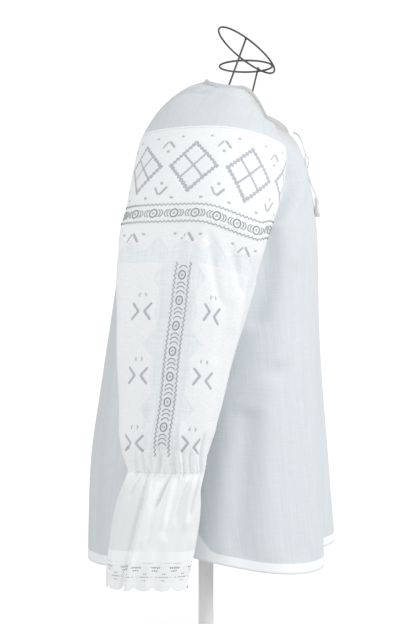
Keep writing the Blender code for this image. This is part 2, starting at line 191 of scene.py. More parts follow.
def between_rows(table, position):
    """The table's values at fractional rows, on a smooth curve through its rows."""
    table = np.asarray(table, float)
    position = np.asarray(position, float)
    last = len(table) - 1
    row = np.clip(position.astype(int), 0, last - 1)
    share = (position - row)[..., None]
    before, here = table[np.maximum(row - 1, 0)], table[row]
    after, beyond = table[row + 1], table[np.minimum(row + 2, last)]
    bend = (2 * before - 5 * here + 4 * after - beyond) * share**2
    turn = (3 * here - before - 3 * after + beyond) * share**3
    return 0.5 * (2 * here + (after - before) * share + bend + turn)


def rounded(value, power=SLEEVE_POWER):
    """A sine or cosine for a section a little squarer than an ellipse."""
    return np.copysign(np.abs(value) ** (2.0 / power), value)


def section_points(cut, degrees, front_lift, back_lift):
    """Points round sleeve sections, 0 degrees outward and 90 to the front."""
    along = rounded(np.cos(np.radians(degrees)))
    across = rounded(np.sin(np.radians(degrees)))
    lift = np.where(across > 0, front_lift, back_lift)
    return np.stack([
        cut[..., 1] - cut[..., 3] * along,
        cut[..., 2] - cut[..., 4] * across,
        cut[..., 0] + lift * across**2,
    ], axis=-1)


def head_surface(positions, shares):
    """Upper sleeve points. Shares run from -1, the back edge, to 1, the front edge."""
    cut = between_rows(SLEEVE_HEAD, positions)[:, None, :]
    shares = np.asarray(shares)[None, :]
    degrees = np.where(shares < 0, shares * cut[..., 6], shares * cut[..., 5])
    return section_points(cut, degrees, cut[..., 7], cut[..., 8])


def tube_surface(table, positions, degrees):
    """Closed sleeve points. Degrees are 0 outward and 90 to the front."""
    cut = between_rows(table, positions)[:, None, :]
    return section_points(cut, np.asarray(degrees)[None, :], cut[..., 5], 0.0)


def body_edge(position, side):
    """Where a panel ends on the right, at the raglan seam or at the side seam."""
    if position <= UNDERARM_ROW:
        share = 1.0 if side == "front" else -1.0
        return head_surface(np.array([position]), np.array([share]))[0, 0]
    cut = between_rows(BODY, position)
    edge = cut[8:11].copy()
    open_share = max(0.0, (HEM_SIDE_Z + VENT_HEIGHT - edge[2]) / VENT_HEIGHT)
    apart = 0.5 * VENT_GAP * open_share
    edge[1] += -apart if side == "front" else apart
    return edge


def body_surface(positions, shares, side):
    """Front or back panel points. Shares run from -1, right, to 1, left."""
    shares = np.asarray(shares, float)
    rows = []
    for position in positions:
        cut = between_rows(BODY, position)
        edge = body_edge(position, side)
        first = 0 if side == "front" else 4
        middle_z, middle_y, degrees, power = cut[first:first + 4]
        reach = math.radians(degrees)
        sine = math.sin(reach) * np.abs(shares) ** (power / 2.0)
        ends = math.cos(reach) ** (2.0 / power) if degrees < 89.9 else 0.0
        here = np.maximum(0.0, 1.0 - sine * sine) ** (1.0 / power)
        share = (here - ends) / (1.0 - ends)
        x = -edge[0] * shares
        y = edge[1] + (middle_y - edge[1]) * share
        if position <= UNDERARM_ROW:
            z = edge[2] + (middle_z - edge[2]) * (1.0 - shares * shares)
        else:
            z = edge[2] + (middle_z - edge[2]) * (1.0 - (1.0 - share) ** 1.5)
        if side == "front":
            fall = np.clip((TROUGH_TOP_Z - z) / (TROUGH_TOP_Z - HEM_Z), 0.0, 1.0)
            y = y + TROUGH_DEPTH * fall**1.3 * np.exp(-((x / TROUGH_WIDTH) ** 2))
            y = y - FRONT_SWING * x * fall * share
        rows.append(np.stack([x, y, z], axis=-1))
    return np.array(rows)


def surface_normals(points, closed):
    """Unit normals of a grid of points, outward on a row order from top to bottom."""
    down = np.gradient(points, axis=0)
    if closed:
        across = np.roll(points, -1, axis=1) - np.roll(points, 1, axis=1)
    else:
        across = np.gradient(points, axis=1)
    normal = np.cross(down, across)
    length = np.linalg.norm(normal, axis=-1, keepdims=True)
    return normal / np.maximum(length, 1e-12)


def run_lengths(points, axis):
    """How far along each row or column of a grid its points lie."""
    steps = np.linalg.norm(np.diff(points, axis=axis), axis=-1)
    start = np.zeros_like(np.take(steps, [0], axis=axis))
    return np.concatenate([start, np.cumsum(steps, axis=axis)], axis=axis)


def cloth_measures(points, middle_column):
    """Distance across from the middle column, and down from the first row, in mm."""
    run = run_lengths(points, 1)
    across = run - run[:, [middle_column]]
    down = run_lengths(points[:, [middle_column]], 0)
    return across / MM, np.broadcast_to(down / MM, across.shape).copy()


def closed_grid(points):
    """The grid with its first column written again as its last."""
    return np.concatenate([points, points[:, :1]], axis=1)


def closed_measures(points, middle_column):
    """across and down for a closed grid, one column wider than it."""
    return cloth_measures(closed_grid(points), middle_column)


def evenly(line, count):
    """The line's points again, at even steps, and how far along each one lies."""
    run = run_lengths(line, 0)
    even = np.linspace(0.0, run[-1], count)
    return np.stack([np.interp(even, run, line[:, axis]) for axis in range(3)], axis=-1), even


def bump(value, centre, width):
    """1 at the centre, falling smoothly to 0 on both sides."""
    return np.exp(-(((value - centre) / width) ** 2))


def eased(value, low, high):
    """0 up to low and 1 from high, with a smooth rise between them."""
    share = np.clip((value - low) / (high - low), 0.0, 1.0)
    return share * share * (3.0 - 2.0 * share)


def crease(across, down, route, width, depth, fade=8.0):
    """A soft trough, or a ridge where depth is negative, along a route of (s, t) in mm."""
    route = np.asarray(route, float)
    line = np.interp(down, route[:, 1], route[:, 0])
    ends = eased(down, route[0, 1] - fade, route[0, 1] + fade)
    ends = ends * (1.0 - eased(down, route[-1, 1] - fade, route[-1, 1] + fade))
    return -depth * MM * ends * bump(across, line, width)


def segment_distance(s, t, a, b):
    """Distance from a segment and how far along it, in mm."""
    along = np.array([b[0] - a[0], b[1] - a[1]], float)
    length = math.hypot(*along)
    along /= length
    run = np.clip((s - a[0]) * along[0] + (t - a[1]) * along[1], 0.0, length)
    return np.hypot(s - a[0] - run * along[0], t - a[1] - run * along[1]), run


def bar(s, t, a, b, half_width):
    """Signed distance to a straight line with round ends."""
    return segment_distance(s, t, a, b)[0] - half_width


def stepped_bar(s, t, a, b, half_width, step, bite):
    """A bar whose edges go in and out like counted stitches."""
    distance, run = segment_distance(s, t, a, b)
    return distance - half_width - bite * np.sign(np.sin(2 * np.pi * run / step))


# ---------------------------------------------------------------- charts of the needlework

# All in mm: s is the distance round the sleeve, and t the distance down the piece
DIAMOND_PERIOD = 72.0
DIAMOND_CENTRE = (-10.0, 62.0)
CHEVRON = (7.6, 1.5)  # half width and the half width of its bars
TALL_DOT = (1.9, 2.1)
FLAT_DOT = (2.2, 1.5)
BORDER_CENTRE = 3.5
RING_FIRST = 7.0
RING_PERIOD = 26.4
HEMSTITCH_TOP = 116.4
RING_LINE = 128.0
BORDER_LINE = 3.2  # the lower toothed line, on the lower sleeve
STRIP_TOP = 54.0
STRIP_BOTTOM = 293.0
STRIP_MIDDLES = (4.6, 1.2)  # at its top and at its bottom
STRIP_HALF = 8.6
ALL_WHITE = 285.0
STRIP_RING_FIRST = 70.0
STRIP_RING_PERIOD = 31.0
CROSS_LEVELS = (114.0, 193.0, 277.0)
CROSS_LEFT = (-43.0, -39.0, -36.0)
CROSS_RIGHT = (44.5, 42.0, 36.5)
CROSS_WIDTHS = (0.74, 0.92, 0.90)
# Middles of the white zones at the levels of the crosses
ZONE_LEFT = (-45.5, -42.0, -38.0)
ZONE_RIGHT = (46.0, 44.5, 39.5)
STITCH_STEP = 1.1
TOOTH_THICK = 0.56  # half thicknesses of the threads
ARC_THICK = 0.52


def wrapped(value, centre, period):
    """Distance from the nearest of the centres that repeat at a period."""
    return (value - centre + period / 2) % period - period / 2


def nearest(distances):
    """The least of several signed distances."""
    return np.minimum.reduce(list(distances))


def diamond_lines(s, t):
    """A stepped diamond with a cross inside it, about its own centre."""
    wide, tall = 29.0, 35.5
    tips = ((0, -tall), (wide, 0), (0, tall), (-wide, 0))
    edges = [stepped_bar(s, t, here, after, 2.1, 5.6, 0.75)
             for here, after in zip(tips, tips[1:] + tips[:1])]
    arms = [bar(s, t, (-14.5, lean * -17.8), (14.5, lean * 17.8), 1.35) for lean in (1, -1)]
    return nearest(edges + arms)


def chevron(s, t, rise):
    """Two bars that meet at the top, with a gap between them at the tip."""
    half, thick = CHEVRON
    left = bar(s, t, (-half, rise), (-1.9, 0.0), 0.8 * thick)
    right = bar(s, t, (half, rise), (1.3, 0.0), 1.15 * thick)
    return np.minimum(left, right)


def dot(s, t, size):
    """Signed distance to a small block of stitches."""
    half_wide, half_tall = size
    return np.maximum(np.abs(s) / half_wide, np.abs(t) / half_tall) * half_tall - half_tall


def band_lines(s, t):
    """Signed distance, in mm, to the openwork lines of the shoulder band."""
    centre, level = DIAMOND_CENTRE
    between = wrapped(s, centre + DIAMOND_PERIOD / 2, DIAMOND_PERIOD)
    marks = [
        diamond_lines(wrapped(s, centre, DIAMOND_PERIOD), t - level),
        chevron(between, t - 23.0, 8.6),
        dot(between, t - 38.5, TALL_DOT),
        chevron(between, 102.0 - t, 9.0),
        dot(between, t - 87.0, TALL_DOT),
    ]
    for level in (15.0, 107.0):
        for shift in (-18.5, 18.5):
            spot = wrapped(s, centre + shift, DIAMOND_PERIOD)
            marks.append(dot(spot, t - level, FLAT_DOT))
    return nearest(marks)


def band_windows(s, t):
    """Where the satin stitches turn: inside the four windows of each diamond."""
    u = np.abs(wrapped(s, DIAMOND_CENTRE[0], DIAMOND_PERIOD)) / 24.0
    v = np.abs(t - DIAMOND_CENTRE[1]) / 30.0
    return 1.0 - eased(u + v, 0.93, 1.0)


def border_edge(s):
    """How far down the toothed white border of the lower sleeve reaches."""
    u = np.abs(wrapped(s, BORDER_CENTRE, DIAMOND_PERIOD))
    return np.interp(u, (0.0, 11.0, 20.5, 36.0), (27.5, 31.5, 39.5, 21.5))


def stepped(value, step):
    """The value at the nearest counted stitch."""
    return np.round(value / step) * step


def zone_edges(t):
    """Inner and outer half widths of a white zone, with large teeth between crosses."""
    levels = (54, 72, 91, 114, 137, 155, 172, 193, 215, 234, 254, 277, 298, 316)
    inner = (27, 13, 24, 20, 23, 7, 22, 19, 22, 7, 21, 17, 14, 9)
    outer = (44, 40, 46, 44, 46, 38, 46, 44, 45, 36, 42, 40, 38, 34)
    return np.interp(t, levels, inner), np.interp(t, levels, outer)


def lower_satin(s, t):
    """Signed distance, in mm and positive inside, to the white zones of the lower sleeve."""
    s, t = stepped(s, STITCH_STEP), stepped(t, STITCH_STEP)
    inner, outer = zone_edges(t)
    centre = np.interp(t, CROSS_LEVELS, ZONE_LEFT)
    left = np.minimum(s - (centre - outer), (centre + inner) - s)
    centre = np.interp(t, CROSS_LEVELS, ZONE_RIGHT)
    right = np.minimum(s - (centre - inner), (centre + outer) - s)
    zones = np.minimum(np.maximum(left, right), t - STRIP_TOP)
    return np.maximum(border_edge(s) - t, np.maximum(zones, t - ALL_WHITE))


def cross_lines(s, t, wide, lean):
    """Two arrow heads, tip to tip, with a pair of small marks above."""
    marks = []
    for side in (-wide, wide):
        tilt = math.copysign(lean, side)
        tip = (3.9 * side, 2.0 * tilt)
        knee = (4.6 * side, -19.8)
        marks += [
            bar(s, t, (12.2 * side, tilt - 9.4), tip, 1.5),
            bar(s, t, (12.2 * side, tilt + 9.6), tip, 1.55),
            bar(s, t, (3.4 * side, -22.2), knee, 0.9),
            bar(s, t, knee, (3.6 * side, -17.8), 0.8),
        ]
    return nearest(marks)


def lower_lines(s, t):
    """Signed distance, in mm, to the openwork lines of the lower sleeve."""
    level = 18.5
    marks = [chevron(wrapped(s, BORDER_CENTRE, DIAMOND_PERIOD), t - level, 8.6)]
    for shift in (-15.5, 15.5):
        spot = wrapped(s, BORDER_CENTRE + shift, DIAMOND_PERIOD)
        marks.append(dot(spot, t - level, FLAT_DOT))
    for level, left, right, wide in zip(CROSS_LEVELS, CROSS_LEFT, CROSS_RIGHT, CROSS_WIDTHS):
        marks.append(cross_lines(s - left, t - level, 1.0, 0.0))
        marks.append(cross_lines(s - right, t - level - 0.5, wide, 1.3))
    return nearest(marks)


# Rows of holes: spacing, count, level, whether under a valley, radius
LACE_ROWS = (
    (2.5, 2, 12.4, False, 0.88),
    (2.4, 5, 15.8, False, 0.90),
    (2.5, 2, 19.2, False, 0.88),
    (2.6, 5, 5.4, True, 0.95),
    (2.6, 3, 8.8, True, 0.90),
    (1.0, 1, 12.0, True, 0.80),
    (1.0, 1, 21.6, True, 0.72),
)
SMALL_HOLE = 0.62


def lace_holes(u, t, period):
    """Signed distance, in mm and negative in a hole, of one repeat of the lace."""
    at_lobe = wrapped(u, 0.0, period)
    at_valley = wrapped(u, period / 2, period)
    best = np.hypot(wrapped(u, 0.0, period / 10), t - 1.8) - SMALL_HOLE
    for spacing, count, level, valley, radius in LACE_ROWS:
        centre = at_valley if valley else at_lobe
        for index in range(count):
            place = (index - (count - 1) / 2) * spacing
            best = np.minimum(best, np.hypot(centre - place, t - level) - radius)
    for place in (-8.6, -6.6, 6.6, 8.6):
        best = np.minimum(best, np.hypot(at_lobe - place, t - 15.8) - SMALL_HOLE)
    for index in range(-3, 4):
        place = index * 1.75
        level = 24.6 - 0.088 * place * place
        best = np.minimum(best, np.hypot(at_valley - place, t - level) - SMALL_HOLE)
    return best


def lace_length(u, period, depth, valley):
    """How far down the lace reaches, in mm: round lobes with small picots."""
    around = np.abs(wrapped(u, 0.0, period)) / (period / 2)
    lobe = np.sqrt(np.maximum(0.0, 1.0 - (around * 0.97) ** 2.4))
    picot = 0.35 * np.abs(np.sin(np.pi * u / (period / 9)))
    return depth - valley + valley * lobe + picot


# Each thread is its points in mm, whether it is closed, and its half thickness

def round_points(centre, radius_s, radius_t, angles):
    """Points of an ellipse at the given angles."""
    return np.stack([
        centre[0] + radius_s * np.cos(angles),
        centre[1] + radius_t * np.sin(angles),
    ], axis=-1)


def ring_thread(centre, radius_s, radius_t, thick, points=22):
    angles = np.linspace(0, 2 * np.pi, points, endpoint=False)
    return round_points(centre, radius_s, radius_t, angles), True, thick


def arc_thread(centre, radius, facing, spread):
    angles = np.radians(np.linspace(facing - spread, facing + spread, 9))
    return round_points(centre, radius, radius, angles), False, ARC_THICK


def toothed_thread(start, end, period, height, axis):
    """A row of teeth from start to end, whose points step aside along one axis."""
    count = max(2, int(round(abs(end[0] - start[0] + end[1] - start[1]) / period)))
    steps = np.linspace(0.0, 1.0, 2 * count + 1)
    line = np.outer(1 - steps, start) + np.outer(steps, end)
    line[:, axis] += height * (np.arange(2 * count + 1) % 2 - 0.5)
    return line, False, TOOTH_THICK


def level_teeth(first, last, level):
    return toothed_thread((first, level), (last, level), 5.3, 2.6, 1)


def band_threads(first, last):
    """Hemstitch of the band: a toothed line, rings, and crescents between them."""
    threads = [level_teeth(first, last, HEMSTITCH_TOP)]
    number = int((first - RING_FIRST) / RING_PERIOD)
    while RING_FIRST + number * RING_PERIOD < last:
        centre = (RING_FIRST + number * RING_PERIOD, RING_LINE)
        number += 1
        if centre[0] - 5.0 < first or centre[0] + 5.0 > last:
            continue
        threads.append(ring_thread(centre, 4.7, 5.2, 0.80))
        threads.append(ring_thread(centre, 1.1, 1.2, 0.34, 10))
        for shift, facing in ((3.4, 0.0), (6.6, 0.0), (-3.4, 180.0), (-6.6, 180.0)):
            if first + 4.0 < centre[0] + 1.6 * shift < last - 4.0:
                place = (centre[0] + shift, centre[1])
                threads.append(arc_thread(place, 5.3, facing, 64.0))
    return threads


def strip_threads(first, last):
    """Hemstitch of the lower sleeve: the border's toothed line, then the strip's toothed
    edges with rings and arches between them."""
    threads = [level_teeth(first, last, BORDER_LINE)]
    top, bottom = STRIP_MIDDLES
    for shift in (-STRIP_HALF, STRIP_HALF):
        start, end = (top + shift, STRIP_TOP), (bottom + shift, STRIP_BOTTOM)
        threads.append(toothed_thread(start, end, 5.6, 2.5, 0))
    level = STRIP_RING_FIRST - STRIP_RING_PERIOD
    while level < STRIP_BOTTOM:
        middle = top + (bottom - top) * (level - STRIP_TOP) / (STRIP_BOTTOM - STRIP_TOP)
        if STRIP_TOP + 4 < level < STRIP_BOTTOM - 6:
            threads.append(ring_thread((middle, level), 4.0, 5.2, 0.72))
            threads.append(ring_thread((middle, level), 0.9, 1.3, 0.30, 10))
        for share in (0.36, 0.52, 0.70):
            there = level + share * STRIP_RING_PERIOD
            if STRIP_TOP + 3 < there < STRIP_BOTTOM - 3:
                threads.append(arc_thread((middle, there + 2.6), 4.9, -90.0, 72.0))
        level += STRIP_RING_PERIOD
    return threads


# ---------------------------------------------------------------- creases laid one by one

# How far down the lower sleeve and how far round it the pressed ridge runs
RIDGE_DOWN = (0, 190, 245, 300)
RIDGE_ACROSS = (22, 23, 17, 11)
RIDGE_HEIGHT = 4.2
RIDGE_HALF = 36.0


def pressed_ridge(s, centre):
    """The crease pressed down the outside of the sleeve, as a tent with a rounded top."""
    away = np.sqrt((s - centre) ** 2 + 6.0) - 2.4
    return RIDGE_HEIGHT * MM * np.clip(1.0 - away / RIDGE_HALF, 0.0, 1.0)


# Routes as (across, down), then the half width and the depth, which is negative for a ridge
HEAD_CREASES = (
    (((58, 6), (66, 60), (80, 112)), 9, 2.2),
    (((26, 4), (34, 50)), 7, 1.0),
    (((-30, 4), (-38, 60)), 8, 1.0),
    (((82, 20), (96, 90)), 8, -2.0),
    (((-70, 10), (-92, 100)), 12, 1.6),
    (((2, -10), (-14, 60)), 36, -5.5),
)
BAND_CREASES = (
    (((-96, -20), (-100, 80), (-92, 150)), 14, 2.0),
    (((96, -20), (104, 70), (100, 150)), 12, 1.5),
)
LOWER_CREASES = (
    (((30, 16), (38, 50), (54, 100)), 6, 2.2),
    (((60, 26), (80, 78)), 6, 2.0),
    (((66, 96), (58, 170)), 7, 1.6),
    (((-62, 40), (-66, 140), (-60, 240)), 10, 1.8),
    (((-17, 60), (-18, 180), (-17, 280)), 5, 0.7),
    (((92, 30), (96, 140), (84, 250)), 9, 2.4),
    (((-104, 30), (-98, 150), (-86, 260)), 9, 2.4),
    (((112, 60), (104, 220)), 8, -1.8),
    (((74, 130), (62, 250)), 8, 1.4),
    (((-22, 236), (-17, 306)), 6, 1.8),
    (((20, 246), (22, 306)), 5, -1.4),
)
# Here down is the distance below the wrist, and above it where that is negative
WRIST_CREASES = (
    (((-2, -36), (1.5, -24), (-6, 6)), 2.2, 4.2),
    (((-11, -28), (-14, 4)), 2.0, 2.8),
    (((-23, -34), (-20, 8)), 2.2, 2.6),
    (((17.6, -28), (17, 4)), 2.2, 2.8),
    (((27, -30), (25, 8)), 2.4, 2.2),
    (((36, -28), (33, 6)), 2.6, 2.8),
    (((53, -50), (46, 6)), 3.2, 3.2),
    (((-31, -30), (-32, 6)), 2.4, 2.4),
    (((-44, -40), (-42, 4)), 3.0, 2.8),
    (((70, -44), (66, 4)), 3.4, 2.6),
    (((-66, -40), (-62, 4)), 3.4, 2.6),
    (((88, -36), (84, 4)), 3.2, 2.4),
    (((-88, -40), (-84, 4)), 3.4, 2.6),
    (((10, -22), (8, 10)), 2.2, -2.0),
    (((23, -24), (22, 12)), 2.4, -1.8),
    (((-36, -22), (-37, 12)), 2.4, -1.8),
)
CUFF_CREASES = (
    (((9.8, 6), (6.5, 24), (3.3, 42)), 2.6, 8.0),
    (((3.3, 40), (0, 92)), 5, 2.0),
    (((-18.4, -4), (-15.3, 32), (-22, 83), (-28.4, 150)), 2.6, 6.4),
    (((-12.6, 14), (-11, 40), (-16.5, 83), (-22.5, 150)), 4.5, -3.2),
    (((-26.5, 4), (-32.5, 28)), 2.4, 3.4),
    (((-8.5, -2), (-9, 16)), 2.0, 2.2),
    (((23.8, 8), (20, 80)), 4.2, 3.2),
    (((33.7, 12), (28.8, 60)), 3.2, 3.2),
    (((50, 4), (46, 56)), 3.4, 4.0),
    (((15.5, 12), (14, 66)), 4.4, -2.4),
    (((41, 8), (42, 70)), 4.6, -2.4),
    (((-4, 12), (-8, 92)), 5, -2.0),
    (((-40, 8), (-47, 150)), 6, -2.4),
    (((-60, 4), (-67, 60)), 3.6, 3.6),
    (((64, 4), (70, 150)), 5, 3.0),
    (((82, 4), (88, 48)), 3.4, 3.0),
    (((-82, 4), (-86, 44)), 3.2, 3.0),
    (((98, 6), (108, 150)), 5, -2.6),
    (((-96, 6), (-106, 150)), 5, 3.0),
    (((112, 4), (122, 70)), 4, 3.0),
    (((-112, 4), (-124, 60)), 4, 2.8),
    (((55, 80), (58, 150)), 7, -2.0),
    (((8, 86), (10, 150)), 9, 1.4),
)


def wrist_relief(s, below):
    """Gathers on both sides of the wrist's joint, below it and above it."""
    relief = creases(s, below, WRIST_CREASES + CUFF_CREASES)
    near = np.exp(-np.abs(below) / 13.0)
    return relief + small_gathers(s, near, 7.4, 0.75)


SEAM_DIP = 7.5
BACK_TRIM = 5.5


def settled(points, s, share):
    """Lets the seam below the band sink towards the front, and takes in its back."""
    points = points.copy()
    dip = SEAM_DIP * MM * eased(s, 10.0, 74.0) * (1.0 - eased(s, 86.0, 110.0))
    points[..., 2] -= dip * share
    trim = bump(points[..., 2], 0.606, 0.036) * eased(points[..., 1], 0.028, 0.066)
    points[..., 1] -= BACK_TRIM * MM * trim
    return points


def creases(s, t, routes):
    """The sum of the creases along several routes."""
    relief = np.zeros(s.shape)
    for route, width, depth in routes:
        relief = relief + crease(s, t, route, width, depth)
    return relief


def small_gathers(s, near, period, depth):
    """Fine uneven pleats beside a gathered line. near is 1 on the line and 0 far away."""
    phase = 2 * np.pi * s / period
    uneven = np.sin(phase + 1.3 * np.sin(0.37 * phase)) + 0.5 * np.sin(1.71 * phase + 0.8)
    return depth * MM * near * uneven


# ---------------------------------------------------------------- meshes

def link(name, mesh):
    obj = bpy.data.objects.new(name, mesh)
    bpy.context.scene.collection.objects.link(obj)
    return obj


def only(obj):
    """Selects one object alone and makes it active."""
    for other in bpy.context.view_layer.objects:
        other.select_set(False)
    obj.select_set(True)
    bpy.context.view_layer.objects.active = obj
    return obj


def cloth_piece(name, points, across, down, finish, wall, closed=False, mirrored=False,
                fields=None, kept=None):
    """A thin wall of cloth with its outer face on the points, rows going downward.

    across and down are in mm and become its UV map in metres. A closed piece has one
    more column of them than of points. fields become point attributes.
    """
    points = points.copy()
    if mirrored:
        points[..., 0] *= -1
    rows, columns = points.shape[:2]
    index = np.arange(rows * columns).reshape(rows, columns)
    if closed:
        index = np.concatenate([index, index[:, :1]], axis=1)
    flat = np.stack([across, down], axis=-1) * MM

    def corners(grid):
        return np.stack([grid[:-1, :-1], grid[1:, :-1], grid[1:, 1:], grid[:-1, 1:]], axis=2)

    faces = corners(index).reshape(-1, 4)
    uvs = corners(flat).reshape(-1, 4, 2)
    if kept is not None:
        faces, uvs = faces[kept.ravel()], uvs[kept.ravel()]
    if mirrored:
        faces, uvs = faces[:, ::-1], uvs[:, ::-1]
    used, faces = np.unique(faces, return_inverse=True)
    faces = faces.reshape(-1, 4)
    mesh = bpy.data.meshes.new(name)
    mesh.from_pydata(points.reshape(-1, 3)[used].tolist(), [], faces.tolist())
    layer = mesh.uv_layers.new(name="cloth")
    layer.data.foreach_set("uv", uvs.ravel())
    for field, values in (fields or {}).items():
        attribute = mesh.attributes.new(field, "FLOAT", "POINT")
        attribute.data.foreach_set("value", values.ravel()[used].astype(np.float32))
    mesh.materials.append(finish)
    obj = only(link(name, mesh))
    solid = obj.modifiers.new("wall", "SOLIDIFY")
    solid.thickness = wall
    solid.offset = -1.0
    bpy.ops.object.modifier_apply(modifier=solid.name)
    obj.data.shade_smooth()
    return obj


def on_cloth(points, across, down, s, t):
    """Points of a cloth grid at distances s across and t down, both in mm."""
    levels = down[:, 0]
    row = np.clip(np.interp(t, levels, np.arange(len(levels))), 0, len(levels) - 1.001)
    below = row.astype(int)
    share = (row - below)[:, None]
    found = np.zeros((len(s), points.shape[-1]))
    for number in np.unique(below):
        mine = below == number
        for step, weight in ((0, 1.0 - share[mine]), (1, share[mine])):
            grid, line = points[number + step], across[number + step]
            values = [np.interp(s[mine], line, grid[:, axis]) for axis in range(grid.shape[-1])]
            found[mine] += weight * np.stack(values, axis=-1)
    return found


def tube_faces(count, sides, first=0, closed=False):
    """Faces of a tube of count rings, with flat ends unless it is closed."""
    faces = []
    for here in range(count if closed else count - 1):
        low, high = first + here * sides, first + (here + 1) % count * sides
        for side in range(sides):
            beyond = (side + 1) % sides
            faces.append((low + side, low + beyond, high + beyond, high + side))
    if not closed:
        last = first + (count - 1) * sides
        faces.append(tuple(range(first + sides - 1, first - 1, -1)))
        faces.append(tuple(range(last, last + sides)))
    return faces


def thread_tubes(name, threads, cloth, finish, mirrored, sides=6, lift=0.15):
    """Threads laid on a cloth, which is its points, its normals, across and down."""
    points, normals, across, down = cloth
    both = np.concatenate([points, normals], axis=-1)
    angles = 2 * np.pi * np.arange(sides) / sides
    beside_share = np.cos(angles)[None, :, None]
    above_share = 0.8 * np.sin(angles)[None, :, None]
    corners, faces = [], []
    for line, closed, thick in threads:
        placed = on_cloth(both, across, down, line[:, 0], line[:, 1])
        centre, normal = placed[:, :3], placed[:, 3:]
        normal /= np.linalg.norm(normal, axis=1, keepdims=True)
        if closed:
            tangent = np.roll(centre, -1, axis=0) - np.roll(centre, 1, axis=0)
        else:
            tangent = np.gradient(centre, axis=0)
        beside = np.cross(tangent, normal)
        beside /= np.linalg.norm(beside, axis=1, keepdims=True)
        ring = (centre + normal * lift * MM)[:, None, :] + thick * MM * (
            beside_share * beside[:, None, :] + above_share * normal[:, None, :])
        faces += tube_faces(len(centre), sides, sum(map(len, corners)), closed)
        corners.append(ring.reshape(-1, 3))
    corners = np.concatenate(corners)
    if mirrored:
        corners[:, 0] *= -1
    mesh = bpy.data.meshes.new(name)
    mesh.from_pydata(corners.tolist(), [], faces)
    tidy = bmesh.new()
    tidy.from_mesh(mesh)
    bmesh.ops.recalc_face_normals(tidy, faces=tidy.faces)
    tidy.to_mesh(mesh)
    tidy.free()
    mesh.materials.append(finish)
    mesh.shade_smooth()
    return link(name, mesh)


# ---------------------------------------------------------------- materials

class Finish:
    """A node material, built a node at a time, on the cloth's own UV map or on the object."""

    def __init__(self, name, cloth=False):
        self.material = bpy.data.materials.new(name)
        self.material.use_nodes = True
        self.tree = self.material.node_tree
        self.shader = self.tree.nodes["Principled BSDF"]
        if cloth:
            self.place = self.add("ShaderNodeUVMap", {"uv_map": "cloth"}).outputs[0]
        else:
            self.place = self.add("ShaderNodeTexCoord").outputs["Object"]

    def add(self, kind, settings=None, **inputs):
        made = self.tree.nodes.new(kind)
        for name, value in (settings or {}).items():
            setattr(made, name, value)
        for name, value in inputs.items():
            socket = made.inputs[int(name[1:]) if name[0] == "_" else name.replace("_", " ")]
            self.join(value, socket)
        return made

    def join(self, value, socket):
        if isinstance(value, bpy.types.NodeSocket):
            self.tree.links.new(value, socket)
        else:
            socket.default_value = value

    def sums(self, operation, first, second):
        return self.add("ShaderNodeMath", {"operation": operation}, _0=first, _1=second).outputs[0]

    def total(self, first, second):
        return self.sums("ADD", first, second)

    def scaled(self, value, share):
        return self.sums("MULTIPLY", value, share)

    def field(self, name):
        return self.add("ShaderNodeAttribute", {"attribute_name": name}).outputs["Fac"]

    def within(self, value, soft):
        """0 to 1 as a signed distance in mm goes from outside to inside."""
        made = self.add("ShaderNodeMapRange", {"interpolation_type": "SMOOTHSTEP"},
                        Value=value, From_Min=-soft, From_Max=soft)
        return made.outputs[0]

    def spots(self, value, soft, middle=0.5):
        """0 to 1 as a noise goes from below its middle to above it."""
        return self.within(self.sums("SUBTRACT", value, middle), soft)

    def blend(self, share, first, second):
        made = self.add("ShaderNodeMix", {"data_type": "RGBA"}, _0=share, _6=first, _7=second)
        return made.outputs[2]

    def noise(self, scale, detail=2.0, roughness=0.5):
        """Noise on the finish's coordinates, stretched by the three scales."""
        mapping = self.add("ShaderNodeMapping", Vector=self.place, Scale=scale)
        made = self.add("ShaderNodeTexNoise", Vector=mapping.outputs[0], Scale=1.0,
                        Detail=detail, Roughness=roughness)
        return made.outputs["Fac"]

    def bump(self, height, strength, distance):
        made = self.add("ShaderNodeBump", Height=height, Strength=strength, Distance=distance)
        return made.outputs[0]

    def surface(self, **inputs):
        """Gives the shader's inputs their nodes or constants, and returns the material."""
        for name, value in inputs.items():
            self.join(value, self.shader.inputs[name.replace("_", " ")])
        return self.material


def made_once(name, maker, *values):
    """The material of this name, made at its first use."""
    return bpy.data.materials.get(name) or maker(name, *values)


def shade(colour, share=1.0):
    """A colour made darker or lighter, with its alpha."""
    return (*(min(1.0, channel * share) for channel in colour[:3]), 1.0)


def thread_count(finish):
    """Uneven warp and weft: slubs that run both ways, mostly down the cloth, about 0 to 1."""
    warp = finish.noise((620, 22, 1), 3.0, 0.6)
    weft = finish.noise((30, 560, 1), 3.0, 0.6)
    both = finish.total(finish.scaled(warp, 0.6), finish.scaled(weft, 0.4))
    broad = finish.noise((150, 7, 1), 2.0, 0.5)
    return finish.total(finish.scaled(both, 0.75), finish.scaled(broad, 0.25))


def weave(finish):
    """The fine plain weave, as a height."""
    return finish.total(finish.noise((1700, 190, 1), 1.0), finish.noise((190, 1700, 1), 1.0))


